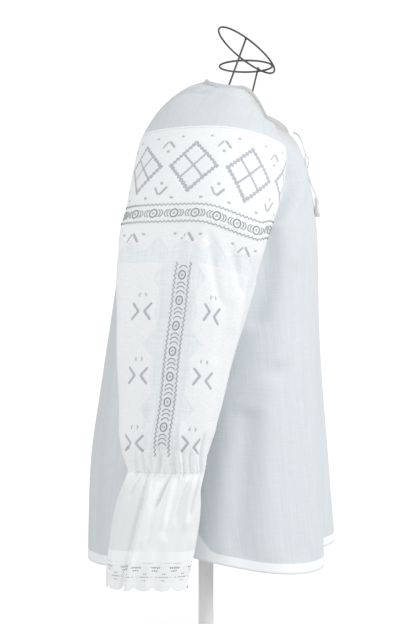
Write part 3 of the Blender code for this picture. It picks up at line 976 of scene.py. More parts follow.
def linen_finish(name, base, contrast, settings):
    """Plain linen: whiter where doubled, with painted shade greying the ruffles' sides and
    darkening the neck's front gathers.
    """
    finish = Finish(name, cloth=True)
    slubs = finish.spots(thread_count(finish), 0.17)
    cloud = finish.spots(finish.noise((26, 14, 1)), 0.3)
    double = finish.within(finish.field("double"), 0.5)
    colour = finish.blend(slubs, shade(base, 1.0 - contrast), shade(base, 1.0 + 0.5 * contrast))
    # Painted shade: the second blend greys the ruffles' sides, and the fourth darkens the gathers
    # at the front of the neck, a little warm.
    for share, strength, over in (
        (cloud, 0.3, shade(base, 0.93)),
        (finish.field("thin"), 0.85, shade(base, 0.87)),
        (double, 0.9, shade(settings.embroidery_colour)),
        (finish.field("neck_shade"), 0.85, shade(settings.neck_shade_colour)),
    ):
        colour = finish.blend(finish.scaled(share, strength), colour, over)
    height = finish.total(weave(finish), finish.scaled(slubs, 0.6))
    height = finish.total(height, finish.scaled(double, 0.9))
    return finish.surface(Base_Color=colour, Roughness=0.86, Specular_IOR_Level=0.25,
                          Sheen_Weight=0.12, Sheen_Roughness=0.5,
                          Normal=finish.bump(height, 0.35, 0.0003))


def body_linen(settings):
    return made_once("fine white linen", linen_finish, settings.linen_colour, 0.08, settings)


def cuff_linen(settings):
    return made_once("bright white linen", linen_finish, settings.cuff_colour, 0.035, settings)


def embroidered_finish(name, settings):
    """Linen under dense white satin stitch, cut by openwork lines painted grey as shade; plain
    parts painted light.
    """
    finish = Finish(name, cloth=True)
    base, white = settings.sleeve_lit_colour, settings.embroidery_colour
    grey = settings.openwork_shade_colour
    slubs = finish.spots(thread_count(finish), 0.13)
    # Painted light: the plain linen between the zones is a lighter copy of the body's linen.
    plain = finish.blend(slubs, shade(base, 0.93), shade(base, 1.05))
    turned = finish.field("turned")
    lying = finish.noise((95, 1500, 1), 2.0, 0.6)
    upright = finish.noise((1500, 95, 1), 2.0, 0.6)
    stitch = finish.total(lying, finish.scaled(turned, finish.sums("SUBTRACT", upright, lying)))
    patches = finish.spots(finish.noise((300, 340, 1), 3.0, 0.75), 0.12)
    satin = finish.blend(finish.spots(stitch, 0.22), shade(white, 0.95), shade(white, 1.03))
    depth = finish.total(0.36, finish.scaled(turned, 0.4))
    satin = finish.blend(finish.scaled(patches, depth), satin, shade(white, 0.90))
    satin = finish.blend(finish.scaled(turned, 0.5), satin, shade(settings.window_colour))
    dense = finish.within(finish.field("satin"), 0.45)
    knots = finish.spots(finish.noise((900, 900, 1), 1.0), 0.16)
    lines = finish.within(finish.scaled(finish.field("openwork"), -1.0), 0.32)
    # Painted shade: the openwork lines are grey, as the shade seen through the gaps of drawn
    # threads.
    threads = finish.blend(knots, shade(grey, 0.8), shade(grey, 1.18))
    colour = finish.blend(lines, finish.blend(dense, plain, satin), threads)
    height = finish.scaled(stitch, finish.total(dense, 0.35))
    height = finish.total(height, finish.scaled(patches, 0.4))
    height = finish.sums("SUBTRACT", height, finish.scaled(lines, 0.5))
    return finish.surface(Base_Color=colour, Roughness=0.72, Specular_IOR_Level=0.3,
                          Sheen_Weight=0.18, Sheen_Roughness=0.4,
                          Normal=finish.bump(height, 0.5, 0.0006))


def embroidered_linen(settings):
    return made_once("embroidered linen", embroidered_finish, settings)


def thread_finish(name, colour, roughness=0.6, scale=2600.0):
    """Twisted thread, by Object coordinates."""
    finish = Finish(name)
    twist = finish.noise((scale, scale, scale * 0.6), 2.0, 0.6)
    tone = finish.spots(twist, 0.2)
    return finish.surface(Base_Color=finish.blend(tone, shade(colour, 0.84), shade(colour, 1.1)),
                          Roughness=roughness, Sheen_Weight=0.15,
                          Normal=finish.bump(twist, 0.4, 0.0002))


# The hemstitch's rings, crescents and toothed lines are grey thread tubes that paint the shade of
# the openwork gaps.
def hemstitch_shade_thread(settings):
    return made_once("grey silk thread", thread_finish, settings.hemstitch_shade_colour)


def lace_finish(name, settings):
    """Knotted white cotton, with cords of stitches round its holes."""
    finish = Finish(name, cloth=True)
    white = settings.embroidery_colour
    knots = finish.noise((1300, 1300, 1), 3.0, 0.7)
    rim = finish.within(finish.sums("SUBTRACT", 0.8, finish.field("rim")), 0.5)
    colour = finish.blend(finish.spots(knots, 0.2), shade(white, 0.9), shade(white, 1.03))
    colour = finish.blend(finish.scaled(rim, 0.5), colour, shade(white, 1.03))
    return finish.surface(Base_Color=colour, Roughness=0.8, Sheen_Weight=0.15,
                          Normal=finish.bump(knots, 0.6, 0.0004))


def jersey_finish(name, settings):
    """Fine ribbed jersey with a faint cloudiness."""
    finish = Finish(name)
    ribs = finish.noise((900, 900, 260), 2.0)
    cloud = finish.noise((12, 12, 12), 2.0)
    tone = finish.spots(finish.total(ribs, finish.scaled(cloud, 0.3)), 0.3, 0.65)
    base = settings.form_colour
    return finish.surface(Base_Color=finish.blend(tone, shade(base, 0.95), shade(base)),
                          Roughness=0.85, Sheen_Weight=0.1,
                          Normal=finish.bump(ribs, 0.25, 0.0003))


def painted_finish(name, colour, roughness, metallic=0.0):
    """Smooth paint or wire, a little worn."""
    finish = Finish(name)
    wear = finish.noise((60, 60, 60), 4.0, 0.6)
    fine = finish.noise((1500, 1500, 1500), 1.0)
    shine = finish.add("ShaderNodeMapRange", Value=wear,
                       To_Min=roughness - 0.06, To_Max=roughness + 0.08)
    colour = finish.blend(finish.spots(wear, 0.3), shade(colour, 0.93), shade(colour))
    return finish.surface(Base_Color=colour, Roughness=shine.outputs[0], Metallic=metallic,
                          Normal=finish.bump(fine, 0.12, 0.0002))


# ---------------------------------------------------------------- the cut pieces

def fit_out(obj, node):
    """Says what a piece rides on and hides the node it replaces."""
    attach(obj, BODY_NAME)
    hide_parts(node)


def finish_cloth(obj, node, with_pieces=()):
    """Fits out a cloth piece and attaches the threads on it to the same body."""
    fit_out(obj, node)
    for piece in with_pieces:
        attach(piece, BODY_NAME)


def raised(points, relief, closed=False, level=0.0):
    """Points moved out by the relief, and only sideways where level is 1."""
    normals = surface_normals(points, closed)
    normals[..., 2] *= 1.0 - level
    normals /= np.maximum(np.linalg.norm(normals, axis=-1, keepdims=True), 1e-12)
    return points + normals * relief[..., None]


def even_shares(position, count, fine=400):
    """Shares from -1 to 1 that put even steps on one row of the upper sleeve."""
    shares = np.linspace(-1, 1, fine)
    run = run_lengths(head_surface(np.array([position]), shares)[0], 0)
    return np.interp(np.linspace(0, run[-1], count), run, shares)


def stitched(satin, lines, height):
    """How far satin stitch stands up, and the openwork lines lie below it."""
    raised_part = height * eased(satin, -0.6, 0.6)
    return MM * (raised_part - 0.42 * eased(-lines, -0.5, 0.5))


def edge_fade(across):
    """0 on a piece's two side edges, so that its seams stay shut, and 1 past a short way."""
    edge = np.minimum(across - across[:, :1], across[:, -1:] - across)
    return eased(edge, 0.0, 12.0)


def neck_shade_share(points, down):
    """Share of painted shade: 1 on the gathers at the front of the neck, and 0 far from them."""
    front = 1.0 - eased(points[..., 1] / MM, -92.0, -48.0)
    return front * np.exp(-((down / 32.0) ** 2))


def head_piece():
    """The plain head's points, its measures in mm and its fields."""
    positions = np.linspace(NECK_ROW, BAND_TOP_ROW, 56)
    shares = even_shares(HEAD_GUIDE_ROW, 104)
    points = head_surface(positions, shares)
    middle = int(np.argmin(np.abs(shares)))
    across, down = cloth_measures(points, middle)
    near_neck = np.exp(-down / 26.0)
    relief = creases(across, down, HEAD_CREASES) * eased(positions, 0.0, 0.5)[:, None]
    relief = relief + small_gathers(across, near_neck, 7.5, 0.55)
    last = down[-1, 0] - down
    relief = relief * (0.25 + 0.75 * eased(last, 0.0, 18.0)) * edge_fade(across)
    # The neck field paints shade on the gathers at the front of the neck.
    fields = {"double": 3.2 - np.abs(last - 2.0) * 1.6, "neck_shade": neck_shade_share(points, down)}
    return raised(points, relief), across, down, fields


def band_piece():
    """The band's points, its measures in mm and its fields, worked all over."""
    positions = np.linspace(BAND_TOP_ROW, UNDERARM_ROW, 106)
    shares = even_shares(BAND_GUIDE_ROW, 236)
    points = head_surface(positions, shares)
    middle = int(np.argmin(np.abs(shares)))
    across, down = cloth_measures(points, middle)
    points = settled(points, across, np.sin(0.5 * np.pi * down / down[-1, 0]))
    across, down = cloth_measures(points, middle)
    relief = creases(across, down, BAND_CREASES)
    relief = relief + pressed_ridge(across, RIDGE_ACROSS[1]) * eased(down, 62.0, 136.0)
    relief = relief * (0.25 + 0.75 * eased(down, 0.0, 16.0)) * edge_fade(across)
    lines = band_lines(across, down)
    satin = np.full(down.shape, WELL_INSIDE)
    relief = relief + stitched(satin, lines, 0.28)
    fields = {"satin": satin, "openwork": lines, "turned": band_windows(across, down)}
    level = eased(down, 30.0, 110.0)
    return raised(points, relief, level=level), across, down, fields


def lower_piece():
    """The lower sleeve's points, its measures in mm and its fields, finest outward."""
    dense = np.linspace(-78, 78, 131)
    sparse = np.linspace(78, 282, 36)[1:-1]
    degrees = np.concatenate([sparse[sparse >= 180] - 360, dense, sparse[sparse < 180]])
    positions = np.linspace(0.0, len(SLEEVE_LOWER) - 1, 172)
    points = tube_surface(SLEEVE_LOWER, positions, degrees)
    middle = int(np.argmin(np.abs(degrees)))
    across, down = closed_measures(points, middle)
    share = 1.0 - eased(down[:, :-1], 0.0, 104.0)
    points = settled(points, across[:, :-1], share)
    across, down = closed_measures(points, middle)
    s, t = across[:, :-1], down[:, :-1]
    lines, satin = lower_lines(s, t), lower_satin(s, t)
    ridge = pressed_ridge(s, np.interp(t, RIDGE_DOWN, RIDGE_ACROSS))
    relief = ridge * (1.0 - eased(t, 262.0, 308.0)) + creases(s, t, LOWER_CREASES)
    relief = relief + wrist_relief(s, t - t[-1, 0]) + stitched(satin, lines, 0.26)
    fields = {"satin": satin, "openwork": lines, "turned": np.zeros(s.shape)}
    return raised(points, relief, True, 1.0), across, down, fields


CUFF = np.concatenate([RUFFLE, LACE[1:]])


def cuff_grid(first, last, rows, columns, measured_from):
    """Part of the cuff between two fractional rows, with its folds."""
    positions = np.linspace(first, last, rows)
    degrees = np.linspace(-180, 180, columns + 1)[:-1]
    points = tube_surface(CUFF, positions, degrees)
    middle = (columns + 1) // 2
    across, down = closed_measures(points, middle)
    s, t = across[:, :-1], down[:, :-1] + measured_from
    relief = wrist_relief(s, t) + small_gathers(s, eased(t, 30.0, 110.0), 34.0, 0.7)
    points = raised(points, relief, True, 1.0)
    return points, *closed_measures(points, middle)


def paint(name, description, default):
    """A colour that the user can change."""
    return FloatVectorProperty(name=name, description=description, default=default,
                               subtype="COLOR", min=0.0, max=1.0)


def thickness(name, description, default, least, most):
    """A thickness in metres that the user can change."""
    return FloatProperty(name=name, description=description, default=default,
                         min=least, max=most, precision=4, unit="LENGTH")


class BlouseSettings(bpy.types.PropertyGroup):
    """Sizes and colours of the blouse."""

    cloth_thickness: thickness(
        "Cloth thickness", "Thickness of the linen wall", 0.0009, 0.0003, 0.002,
    )
    lace_thickness: thickness(
        "Lace thickness", "Thickness of the cotton lace", 0.0008, 0.0003, 0.002,
    )
    tie_diameter: thickness(
        "Tie diameter", "Thickness of the cord that closes the neck", 0.002, 0.001, 0.004,
    )
    tassel_strands: IntProperty(
        name="Tassel strands", description="Strands in each tassel",
        default=26, min=8, max=60,
    )
    linen_colour: paint(
        "Linen", "Colour of the plain linen",
        (0.705, 0.752, 0.785),
    )
    # Painted light: the same linen as the body's, made lighter on the lower sleeves, which catch
    # more light.
    sleeve_lit_colour: paint(
        "Sleeve linen", "Linen between the embroidery, lighter than the body's, with painted light",
        (0.865, 0.908, 0.935),
    )
    cuff_colour: paint(
        "Cuff linen", "Colour of the thin linen of the ruffles",
        (0.945, 0.975, 0.978),
    )
    # Painted shade, a little warm, on the gathers at the front of the neck.
    neck_shade_colour: paint(
        "Neck shade", "Painted shade on the gathered linen at the neck",
        (0.54, 0.535, 0.505),
    )
    embroidery_colour: paint(
        "Embroidery", "Colour of the satin stitch and the lace",
        (0.955, 0.985, 1.0),
    )
    window_colour: paint(
        "Diamond windows", "Colour of the upright stitches in the diamonds",
        (0.89, 0.905, 0.955),
    )
    # Painted shade seen through the drawn-thread openwork.
    openwork_shade_colour: paint(
        "Openwork", "Painted shade of the drawn-thread lines",
        (0.53, 0.545, 0.585),
    )
    # Painted shade of the hemstitch's openwork, carried by grey thread tubes.
    hemstitch_shade_colour: paint(
        "Hemstitch", "Painted shade of the rings and toothed lines",
        (0.30, 0.315, 0.325),
    )
    tie_colour: paint(
        "Tie", "Colour of the cord and its tassels",
        (0.88, 0.90, 0.91),
    )
    form_colour: paint(
        "Form cover", "Colour of the jersey on the dress form",
        (0.83, 0.82, 0.79),
    )


class StageSettings(bpy.types.PropertyGroup):
    """The floor, the lamps and the sky."""

    floor_radius: FloatProperty(
        name="Floor radius", description="Radius of the flat part of the floor",
        default=4.5, min=1.0, max=20.0, unit="LENGTH",
    )
    floor_colour: paint(
        "Floor", "Colour of the floor",
        (0.93, 0.93, 0.93),
    )
    floor_glow: FloatProperty(
        name="Floor glow", description="Light added to the floor so that it stays pale",
        default=0.42, min=0.0, max=2.0,
    )
    key_power: FloatProperty(
        name="Key lamp", description="Power of the lamp in front of the wearer",
        default=58.0, min=0.0, max=1000.0, unit="POWER",
    )
    fill_power: FloatProperty(
        name="Fill lamp", description="Power of the lamp beside the camera",
        default=27.0, min=0.0, max=1000.0, unit="POWER",
    )
    sky_strength: FloatProperty(
        name="Sky strength", description="Even light from all round",
        default=0.625, min=0.0, max=5.0,
    )


def blouse():
    return bpy.context.scene.ie_blouse


class BLOUSE_OT_front_and_back(bpy.types.Operator):
    """Make the front and the back of the blouse."""

    bl_idname = "blouse.front_and_back"
    bl_label = "Front and back"

    UPPER_ROWS = 50
    LOWER_ROWS = 84
    HALF_COLUMNS = 62
    SLIT_ROWS = 24
    HEM_DEPTH = 13.5
    FLATS = {"front": (0.60, 0.64), "back": (0.60, 0.70)}
    PANEL_AREA = 0.34

    def execute(self, context):
        settings = blouse()
        finish = body_linen(settings)
        for side, flat in self.FLATS.items():
            points, kept = self.panel(side)
            across, down = cloth_measures(points, points.shape[1] // 2)
            run = run_lengths(points, 1) / MM
            from_right, from_left = run, run[:, [-1]] - run
            if side == "back":
                from_right, from_left = from_left, from_right
            rise = run_lengths(points[::-1], 0)[::-1] / MM
            height = points[..., 2] / MM
            edge = np.minimum(from_right, from_left)
            relief = self.folds(side, from_right, from_left, 800.0 - height, across, down)
            relief = relief * eased(edge, 0.0, 22.0) * (0.2 + 0.8 * eased(rise, 0.0, 30.0))
            # The neck field paints shade on the gathers at the front of the neck.
            fields = {"double": self.doubled(side, points, rise, edge, height),
                      "neck_shade": neck_shade_share(points, down)}
            obj = cloth_piece(f"body_{side}_linen", raised(points, relief), across, down, finish,
                              settings.cloth_thickness, fields=fields, kept=kept)
            finish_cloth(obj, f"body_{side}")
        return {"FINISHED"}

    def panel(self, side):
        """The panel's points, and which of its faces are kept beside the neck's slit."""
        upper = np.linspace(0.0, UNDERARM_ROW, self.UPPER_ROWS)
        lower = np.linspace(UNDERARM_ROW, BODY_LAST, self.LOWER_ROWS)[1:]
        positions = np.concatenate([upper, lower])
        half = np.sin(0.5 * np.pi * np.linspace(0.0, 1.0, self.HALF_COLUMNS))
        if side == "back":
            shares = np.concatenate([-half[:0:-1], half])
            return body_surface(positions, shares, side)[:, ::-1], None
        half = SLIT_SHARE + (1.0 - SLIT_SHARE) * half
        points = body_surface(positions, np.concatenate([-half[::-1], half]), side)
        kept = np.ones((points.shape[0] - 1, points.shape[1] - 1), bool)
        kept[:self.SLIT_ROWS, self.HALF_COLUMNS - 1] = False
        gap = 0.5 * SLIT_WIDTH * np.linspace(1.0, 0.35, self.SLIT_ROWS + 1)
        points[:self.SLIT_ROWS + 1, self.HALF_COLUMNS - 1, 0] = -gap
        points[:self.SLIT_ROWS + 1, self.HALF_COLUMNS, 0] = gap
        return points, kept

    def doubled(self, side, points, rise, edge, height):
        """Signed distance, in mm, to the hem, the facings of vent and slit, and the gusset."""
        facing = 7.5 * (1.0 - rise / 52.0) - edge
        double = np.maximum(self.HEM_DEPTH - rise, np.where(rise < 50.0, facing, WELL_OUTSIDE))
        if side == "back":
            return double
        beside_slit = 9.0 - np.abs(points[..., 0]) / MM
        gusset = 6.4 * (1.0 - (rise - 10.0) / 28.0) - np.abs(edge - 20.0)
        double = np.maximum(double, np.where(height > 668, beside_slit, WELL_OUTSIDE))
        return np.maximum(double, np.where(rise > 8.0, gusset, WELL_OUTSIDE))

    @staticmethod
    def folds(side, right, left, level, across, down):
        """Folds by the distance from each side edge and by how far below 800 mm they lie."""
        relief = small_gathers(across, np.exp(-down / 24.0), 8.0, 0.5)
        if side == "front":
            chest = eased(level, 50.0, 110.0) * (1.0 - eased(level, 150.0, 330.0))
            relief = relief + 2.5 * MM * chest * bump(across, 0.0, 90.0)
            relief = relief + creases(right, level, (
                (((42, 120), (88, 205), (92, 280), (80, 330)), 17, 5.0),
                (((70, 100), (120, 190), (128, 300), (118, 380)), 20, -4.0),
                (((74, 440), (70, 530), (66, 650)), 16, 5.0),
                (((104, 400), (102, 650)), 22, -3.5),
                (((40, 400), (38, 650)), 18, -2.5),
                (((150, 250), (150, 640)), 24, 3.0),
            ))
            relief = relief + creases(left, level, (
                (((46, 120), (84, 215), (86, 330)), 17, 4.5),
                (((72, 100), (118, 200), (120, 380)), 20, -3.5),
                (((80, 440), (74, 650)), 17, 4.5),
                (((110, 400), (106, 650)), 22, -3.0),
            ))
            return relief
        for run, shift in ((right, 0.0), (left, 9.0)):
            relief = relief + creases(run, level, (
                (((60, 150), (80 + shift, 320), (78, 640)), 22, 4.0),
                (((112, 200), (124 + shift, 420), (128, 650)), 26, -4.0),
                (((170, 260), (172 + shift, 650)), 24, 3.0),
                (((30, 300), (34, 650)), 16, -2.0),
            ))
        return relief


class BLOUSE_OT_sleeve_heads(bpy.types.Operator):
    """Make the plain upper part of each sleeve, from the neck to the embroidered band."""

    bl_idname = "blouse.sleeve_heads"
    bl_label = "Sleeve heads"

    def execute(self, context):
        settings = blouse()
        finish = body_linen(settings)
        points, across, down, fields = head_piece()
        for side in SIDES:
            obj = cloth_piece(
                f"sleeve_head_{side}_linen", points, across, down, finish,
                settings.cloth_thickness, mirrored=side == "left", fields=fields,
            )
            finish_cloth(obj, f"sleeve_head_{side}")
        return {"FINISHED"}


class BLOUSE_OT_shoulder_bands(bpy.types.Operator):
    """Make the embroidered shoulder bands with their diamonds and hemstitch."""

    bl_idname = "blouse.shoulder_bands"
    bl_label = "Shoulder bands"

    def execute(self, context):
        settings = blouse()
        finish = embroidered_linen(settings)
        # Grey hemstitch tubes paint the shade of the openwork.
        thread = hemstitch_shade_thread(settings)
        points, across, down, fields = band_piece()
        cloth = (points, surface_normals(points, False), across, down)
        row = int(np.argmin(np.abs(down[:, 0] - RING_LINE)))
        hemstitch = band_threads(across[row, 0] + 1.5, across[row, -1] - 1.5)
        for side in SIDES:
            mirrored = side == "left"
            obj = cloth_piece(
                f"sleeve_band_{side}_linen", points, across, down, finish,
                settings.cloth_thickness, mirrored=mirrored, fields=fields,
            )
            threads = thread_tubes(f"sleeve_band_{side}_hemstitch", hemstitch, cloth,
                                   thread, mirrored)
            finish_cloth(obj, f"sleeve_band_{side}",
                         [threads])
        return {"FINISHED"}


class BLOUSE_OT_lower_sleeves(bpy.types.Operator):
    """Make the lower sleeves with their white zones, crosses and hemstitch strip."""

    bl_idname = "blouse.lower_sleeves"
    bl_label = "Lower sleeves"

    def execute(self, context):
        settings = blouse()
        finish = embroidered_linen(settings)
        # Grey hemstitch tubes paint the shade of the openwork.
        thread = hemstitch_shade_thread(settings)
        points, across, down, fields = lower_piece()
        cloth = (closed_grid(points), closed_grid(surface_normals(points, True)), across, down)
        hemstitch = strip_threads(across[0, 0] + 0.5, across[0, -1] - 0.5)
        for side in SIDES:
            mirrored = side == "left"
            obj = cloth_piece(
                f"sleeve_lower_{side}_linen", points, across, down, finish,
                settings.cloth_thickness, closed=True, mirrored=mirrored, fields=fields,
            )
            threads = thread_tubes(f"sleeve_lower_{side}_hemstitch", hemstitch, cloth,
                                   thread, mirrored)
            finish_cloth(obj, f"sleeve_lower_{side}",
                         [threads])
        return {"FINISHED"}


class BLOUSE_OT_ruffles(bpy.types.Operator):
    """Make the gathered ruffle below each wrist."""

    bl_idname = "blouse.ruffles"
    bl_label = "Cuff ruffles"

    HEM_DEPTH = 14.5
    SHIRRED = 1.6

    def execute(self, context):
        settings = blouse()
        finish = cuff_linen(settings)
        cord = made_once("white shirring thread", thread_finish, settings.cuff_colour)
        points, across, down = cuff_grid(0.0, len(RUFFLE) - 1, 66, 264, 0.0)
        rise = run_lengths(points[::-1], 0)[::-1] / MM
        s, t = across[:, :-1], down[:, :-1]
        double = np.maximum(self.HEM_DEPTH - rise, self.SHIRRED - t)
        # Painted shade: the thin field greys the ruffle away from its outward middle, fading out
        # towards the wrist.
        thin = (1.0 - bump(s, 8.0, 30.0)) * eased(t, 0.0, 30.0)
        cloth = (closed_grid(points), closed_grid(surface_normals(points, True)), across, down)
        girth = np.linspace(across[0, 0], across[0, -1], 300)[:-1]
        shirring = [(np.stack([girth, np.full(girth.shape, 0.2)], axis=-1), True, 0.55)]
        for side in SIDES:
            mirrored = side == "left"
            obj = cloth_piece(
                f"cuff_ruffle_{side}_linen", points, across, down, finish,
                settings.cloth_thickness, closed=True, mirrored=mirrored,
                fields={"double": double, "thin": thin},
            )
            threads = thread_tubes(f"cuff_ruffle_{side}_shirring", shirring, cloth, cord, mirrored)
            finish_cloth(obj, f"cuff_ruffle_{side}",
                         [threads])
        return {"FINISHED"}


class BLOUSE_OT_lace(bpy.types.Operator):
    """Make the scalloped lace below each ruffle, with its holes cut through."""

    bl_idname = "blouse.lace"
    bl_label = "Cuff lace"

    REPEATS = 12
    COLUMNS = 372
    ROWS = 46
    DEPTH = 35.0
    CHART_DEPTH = 31.0
    BELOW_WRIST = 108.0
    VALLEY = 7.4

    def execute(self, context):
        settings = blouse()
        finish = made_once("white cotton lace", lace_finish, settings)
        first, last = len(RUFFLE) - 1, len(CUFF) - 1
        base, across, down = cuff_grid(first - 0.03, last, 60, 240, self.BELOW_WRIST)
        middle = len(across) // 2
        girth = across[middle, -1] - across[middle, 0]
        period = girth / self.REPEATS
        fraction = across / (across[:, [-1]] - across[:, [0]])
        cell = girth / self.COLUMNS
        u, t = np.meshgrid(
            np.linspace(-0.5 * girth, 0.5 * girth, self.COLUMNS + 1),
            np.linspace(0.0, down[-1, 0], self.ROWS),
        )
        u, t, inside = self.fitted(u, t, period, cell)
        placed = on_cloth(closed_grid(base), fraction, down[:, :1], (u / girth).ravel(), t.ravel())
        points = placed.reshape(*u.shape, 3)[:, :-1]
        corners = [inside[:-1, :-1], inside[1:, :-1], inside[1:, 1:], inside[:-1, 1:]]
        kept = np.min(corners, axis=0) > -0.10
        for side in SIDES:
            obj = cloth_piece(
                f"cuff_lace_{side}_cotton", points, u, t, finish, settings.lace_thickness,
                closed=True, mirrored=side == "left", fields={"rim": inside[:, :-1]}, kept=kept,
            )
            finish_cloth(obj, f"cuff_lace_{side}")
        return {"FINISHED"}

    def depth_inside(self, u, t, period):
        """mm inside the cotton, negative in a hole or past the scallops."""
        holes = lace_holes(u, t * self.CHART_DEPTH / self.DEPTH, period)
        edge = lace_length(u, period, self.DEPTH, self.VALLEY) - t
        return np.minimum(holes, edge)

    def fitted(self, u, t, period, cell):
        """Moves points near a hole's edge onto it, so that the holes are round."""
        inside = self.depth_inside(u, t, period)
        step = 0.05
        slope_u = (self.depth_inside(u + step, t, period) - inside) / step
        slope_t = (self.depth_inside(u, t + step, period) - inside) / step
        steep = np.maximum(slope_u**2 + slope_t**2, 0.05)
        move = np.where(np.abs(inside) < 0.5 * cell, -inside / steep, 0.0)
        move[0] = 0.0
        reach = 0.48 * cell
        shift_u = np.clip(move * slope_u, -reach, reach)
        shift_t = np.clip(move * slope_t, -reach, reach)
        shift_u[:, 0] = shift_u[:, -1] = 0.0
        shift_t[:, -1] = shift_t[:, 0]
        u, t = u + shift_u, np.maximum(t + shift_t, 0.0)
        return u, t, self.depth_inside(u, t, period)


class BLOUSE_OT_neck_casing(bpy.types.Operator):
    """Make the turned casing that carries the tie round the neck."""

    bl_idname = "blouse.neck_casing"
    bl_label = "Neck casing"

    HALF_FRONT = 0.066  # half width of the front's neck edge
    PLEAT = 5.2
    ROLL = 0.0007
    WAVE = 0.00045
    ROWS = 12
    TUCKED = -0.12  # how far the casing reaches below its seam, as a share of its height

    def execute(self, context):
        settings = blouse()
        finish = body_linen(settings)
        slit_edge = -0.5 * SLIT_WIDTH / self.HALF_FRONT
        front = body_surface([0.0], np.linspace(slit_edge, -1.0, 34), "front")[0]
        head = head_surface(np.array([0.0]), np.linspace(1.0, -1.0, 60))[0]
        back = body_surface([0.0], np.linspace(-1.0, 0.0, 24), "back")[0]
        right = np.concatenate([front[:-1], head[:-1], back])
        mirror = right[::-1][1:] * (-1.0, 1.0, 1.0)
        line = np.concatenate([right, mirror])
        line, even = evenly(line, 300)
        inward = (line.mean(axis=0) - line) * (1.0, 1.0, 0.0)
        inward /= np.linalg.norm(inward, axis=1, keepdims=True)
        distance = even / MM
        pleats = np.sin(2 * np.pi * distance / self.PLEAT + 1.4 * np.sin(distance / 11.0))
        tall = 1.0 - 0.5 * eased(line[:, 1] / MM, -50.0, 10.0)
        rows = []
        for share in np.linspace(1.0, self.TUCKED, self.ROWS):
            rolled = math.sin(math.pi * min(1.0, max(0.0, share)))
            lean = CASING_LEAN * share - self.ROLL * rolled
            wave = self.WAVE * (1.0 - 0.6 * share) * pleats
            place = line + inward * (lean + wave)[:, None]
            place[:, 2] += CASING_HEIGHT * share * tall
            rows.append(place[::-1])
        points = np.array(rows)
        across, down = cloth_measures(points, points.shape[1] // 2)
        double = np.full(across.shape, WELL_OUTSIDE)
        # Painted shade along the front of the casing.
        neck_shade = 1.0 - eased(points[..., 1] / MM, -80.0, -30.0)
        obj = cloth_piece("neck_casing_linen", points, across, down, finish,
                          settings.cloth_thickness, fields={"double": double, "neck_shade": neck_shade})
        finish_cloth(obj, "neck_casing")
        return {"FINISHED"}


# ---------------------------------------------------------------- tie and tassels

GOLDEN_ANGLE = 2.399963  # between one strand and the next, in radians


def smooth_route(points, count):
    """Points at even steps of a smooth curve through the given points."""
    points = np.array(points)
    steps = np.linspace(0.0, len(points) - 1, 16 * len(points))
    return evenly(between_rows(points, steps), count)[0]


def rope_corners(line, radius, plies, pitch, sides):
    """Rings of corners along a line, grooved between plies that turn once in each pitch."""
    tangent = np.gradient(line, axis=0)
    tangent /= np.linalg.norm(tangent, axis=1, keepdims=True)
    side = np.cross(tangent[0], (0.31, 0.17, 0.93))
    run = run_lengths(line, 0)
    angles = 2 * np.pi * np.arange(sides) / sides
    corners = []
    for place, ahead, along in zip(line, tangent, run):
        side = side - ahead * side.dot(ahead)
        side /= np.linalg.norm(side)
        other = np.cross(ahead, side)
        reach = np.full(sides, radius)
        if plies:
            turn = 2 * np.pi * along / pitch
            reach *= 1.0 - 0.2 * (1.0 - np.abs(np.cos(0.5 * plies * (angles - turn))))
        corners.append(place + reach[:, None] * (
            np.cos(angles)[:, None] * side + np.sin(angles)[:, None] * other))
    return np.concatenate(corners)


def rope_object(name, lines, radius, plies, pitch, finish, sides=12):
    """Twisted cords along the lines, with closed ends."""
    corners, faces = [], []
    for line in lines:
        faces += tube_faces(len(line), sides, sum(map(len, corners)))
        corners.append(rope_corners(np.asarray(line), radius, plies, pitch, sides))
    mesh = bpy.data.meshes.new(name)
    mesh.from_pydata(np.concatenate(corners).tolist(), [], faces)
    mesh.materials.append(finish)
    mesh.shade_smooth()
    return link(name, mesh)


def join_into(target, others):
    """Makes the others part of the target's mesh."""
    only(target)
    for other in others:
        other.select_set(True)
    bpy.ops.object.join()
    return target


def start_modelling():
    """Leaves edit mode and deselects everything before a primitive is added."""
    if bpy.context.mode != "OBJECT":
        bpy.ops.object.mode_set(mode="OBJECT")
    bpy.ops.object.select_all(action="DESELECT")


def end_modelling(name, finish, angle=35.0):
    """Applies the place of the active object and gives it its name and finish."""
    if bpy.context.mode != "OBJECT":
        bpy.ops.object.mode_set(mode="OBJECT")
    obj = bpy.context.active_object
    bpy.ops.object.transform_apply(location=True, rotation=True, scale=True)
    obj.name = name
    obj.data.name = name
    obj.data.materials.clear()
    obj.data.materials.append(finish)
    bpy.ops.object.shade_smooth_by_angle(angle=math.radians(angle))
    return obj


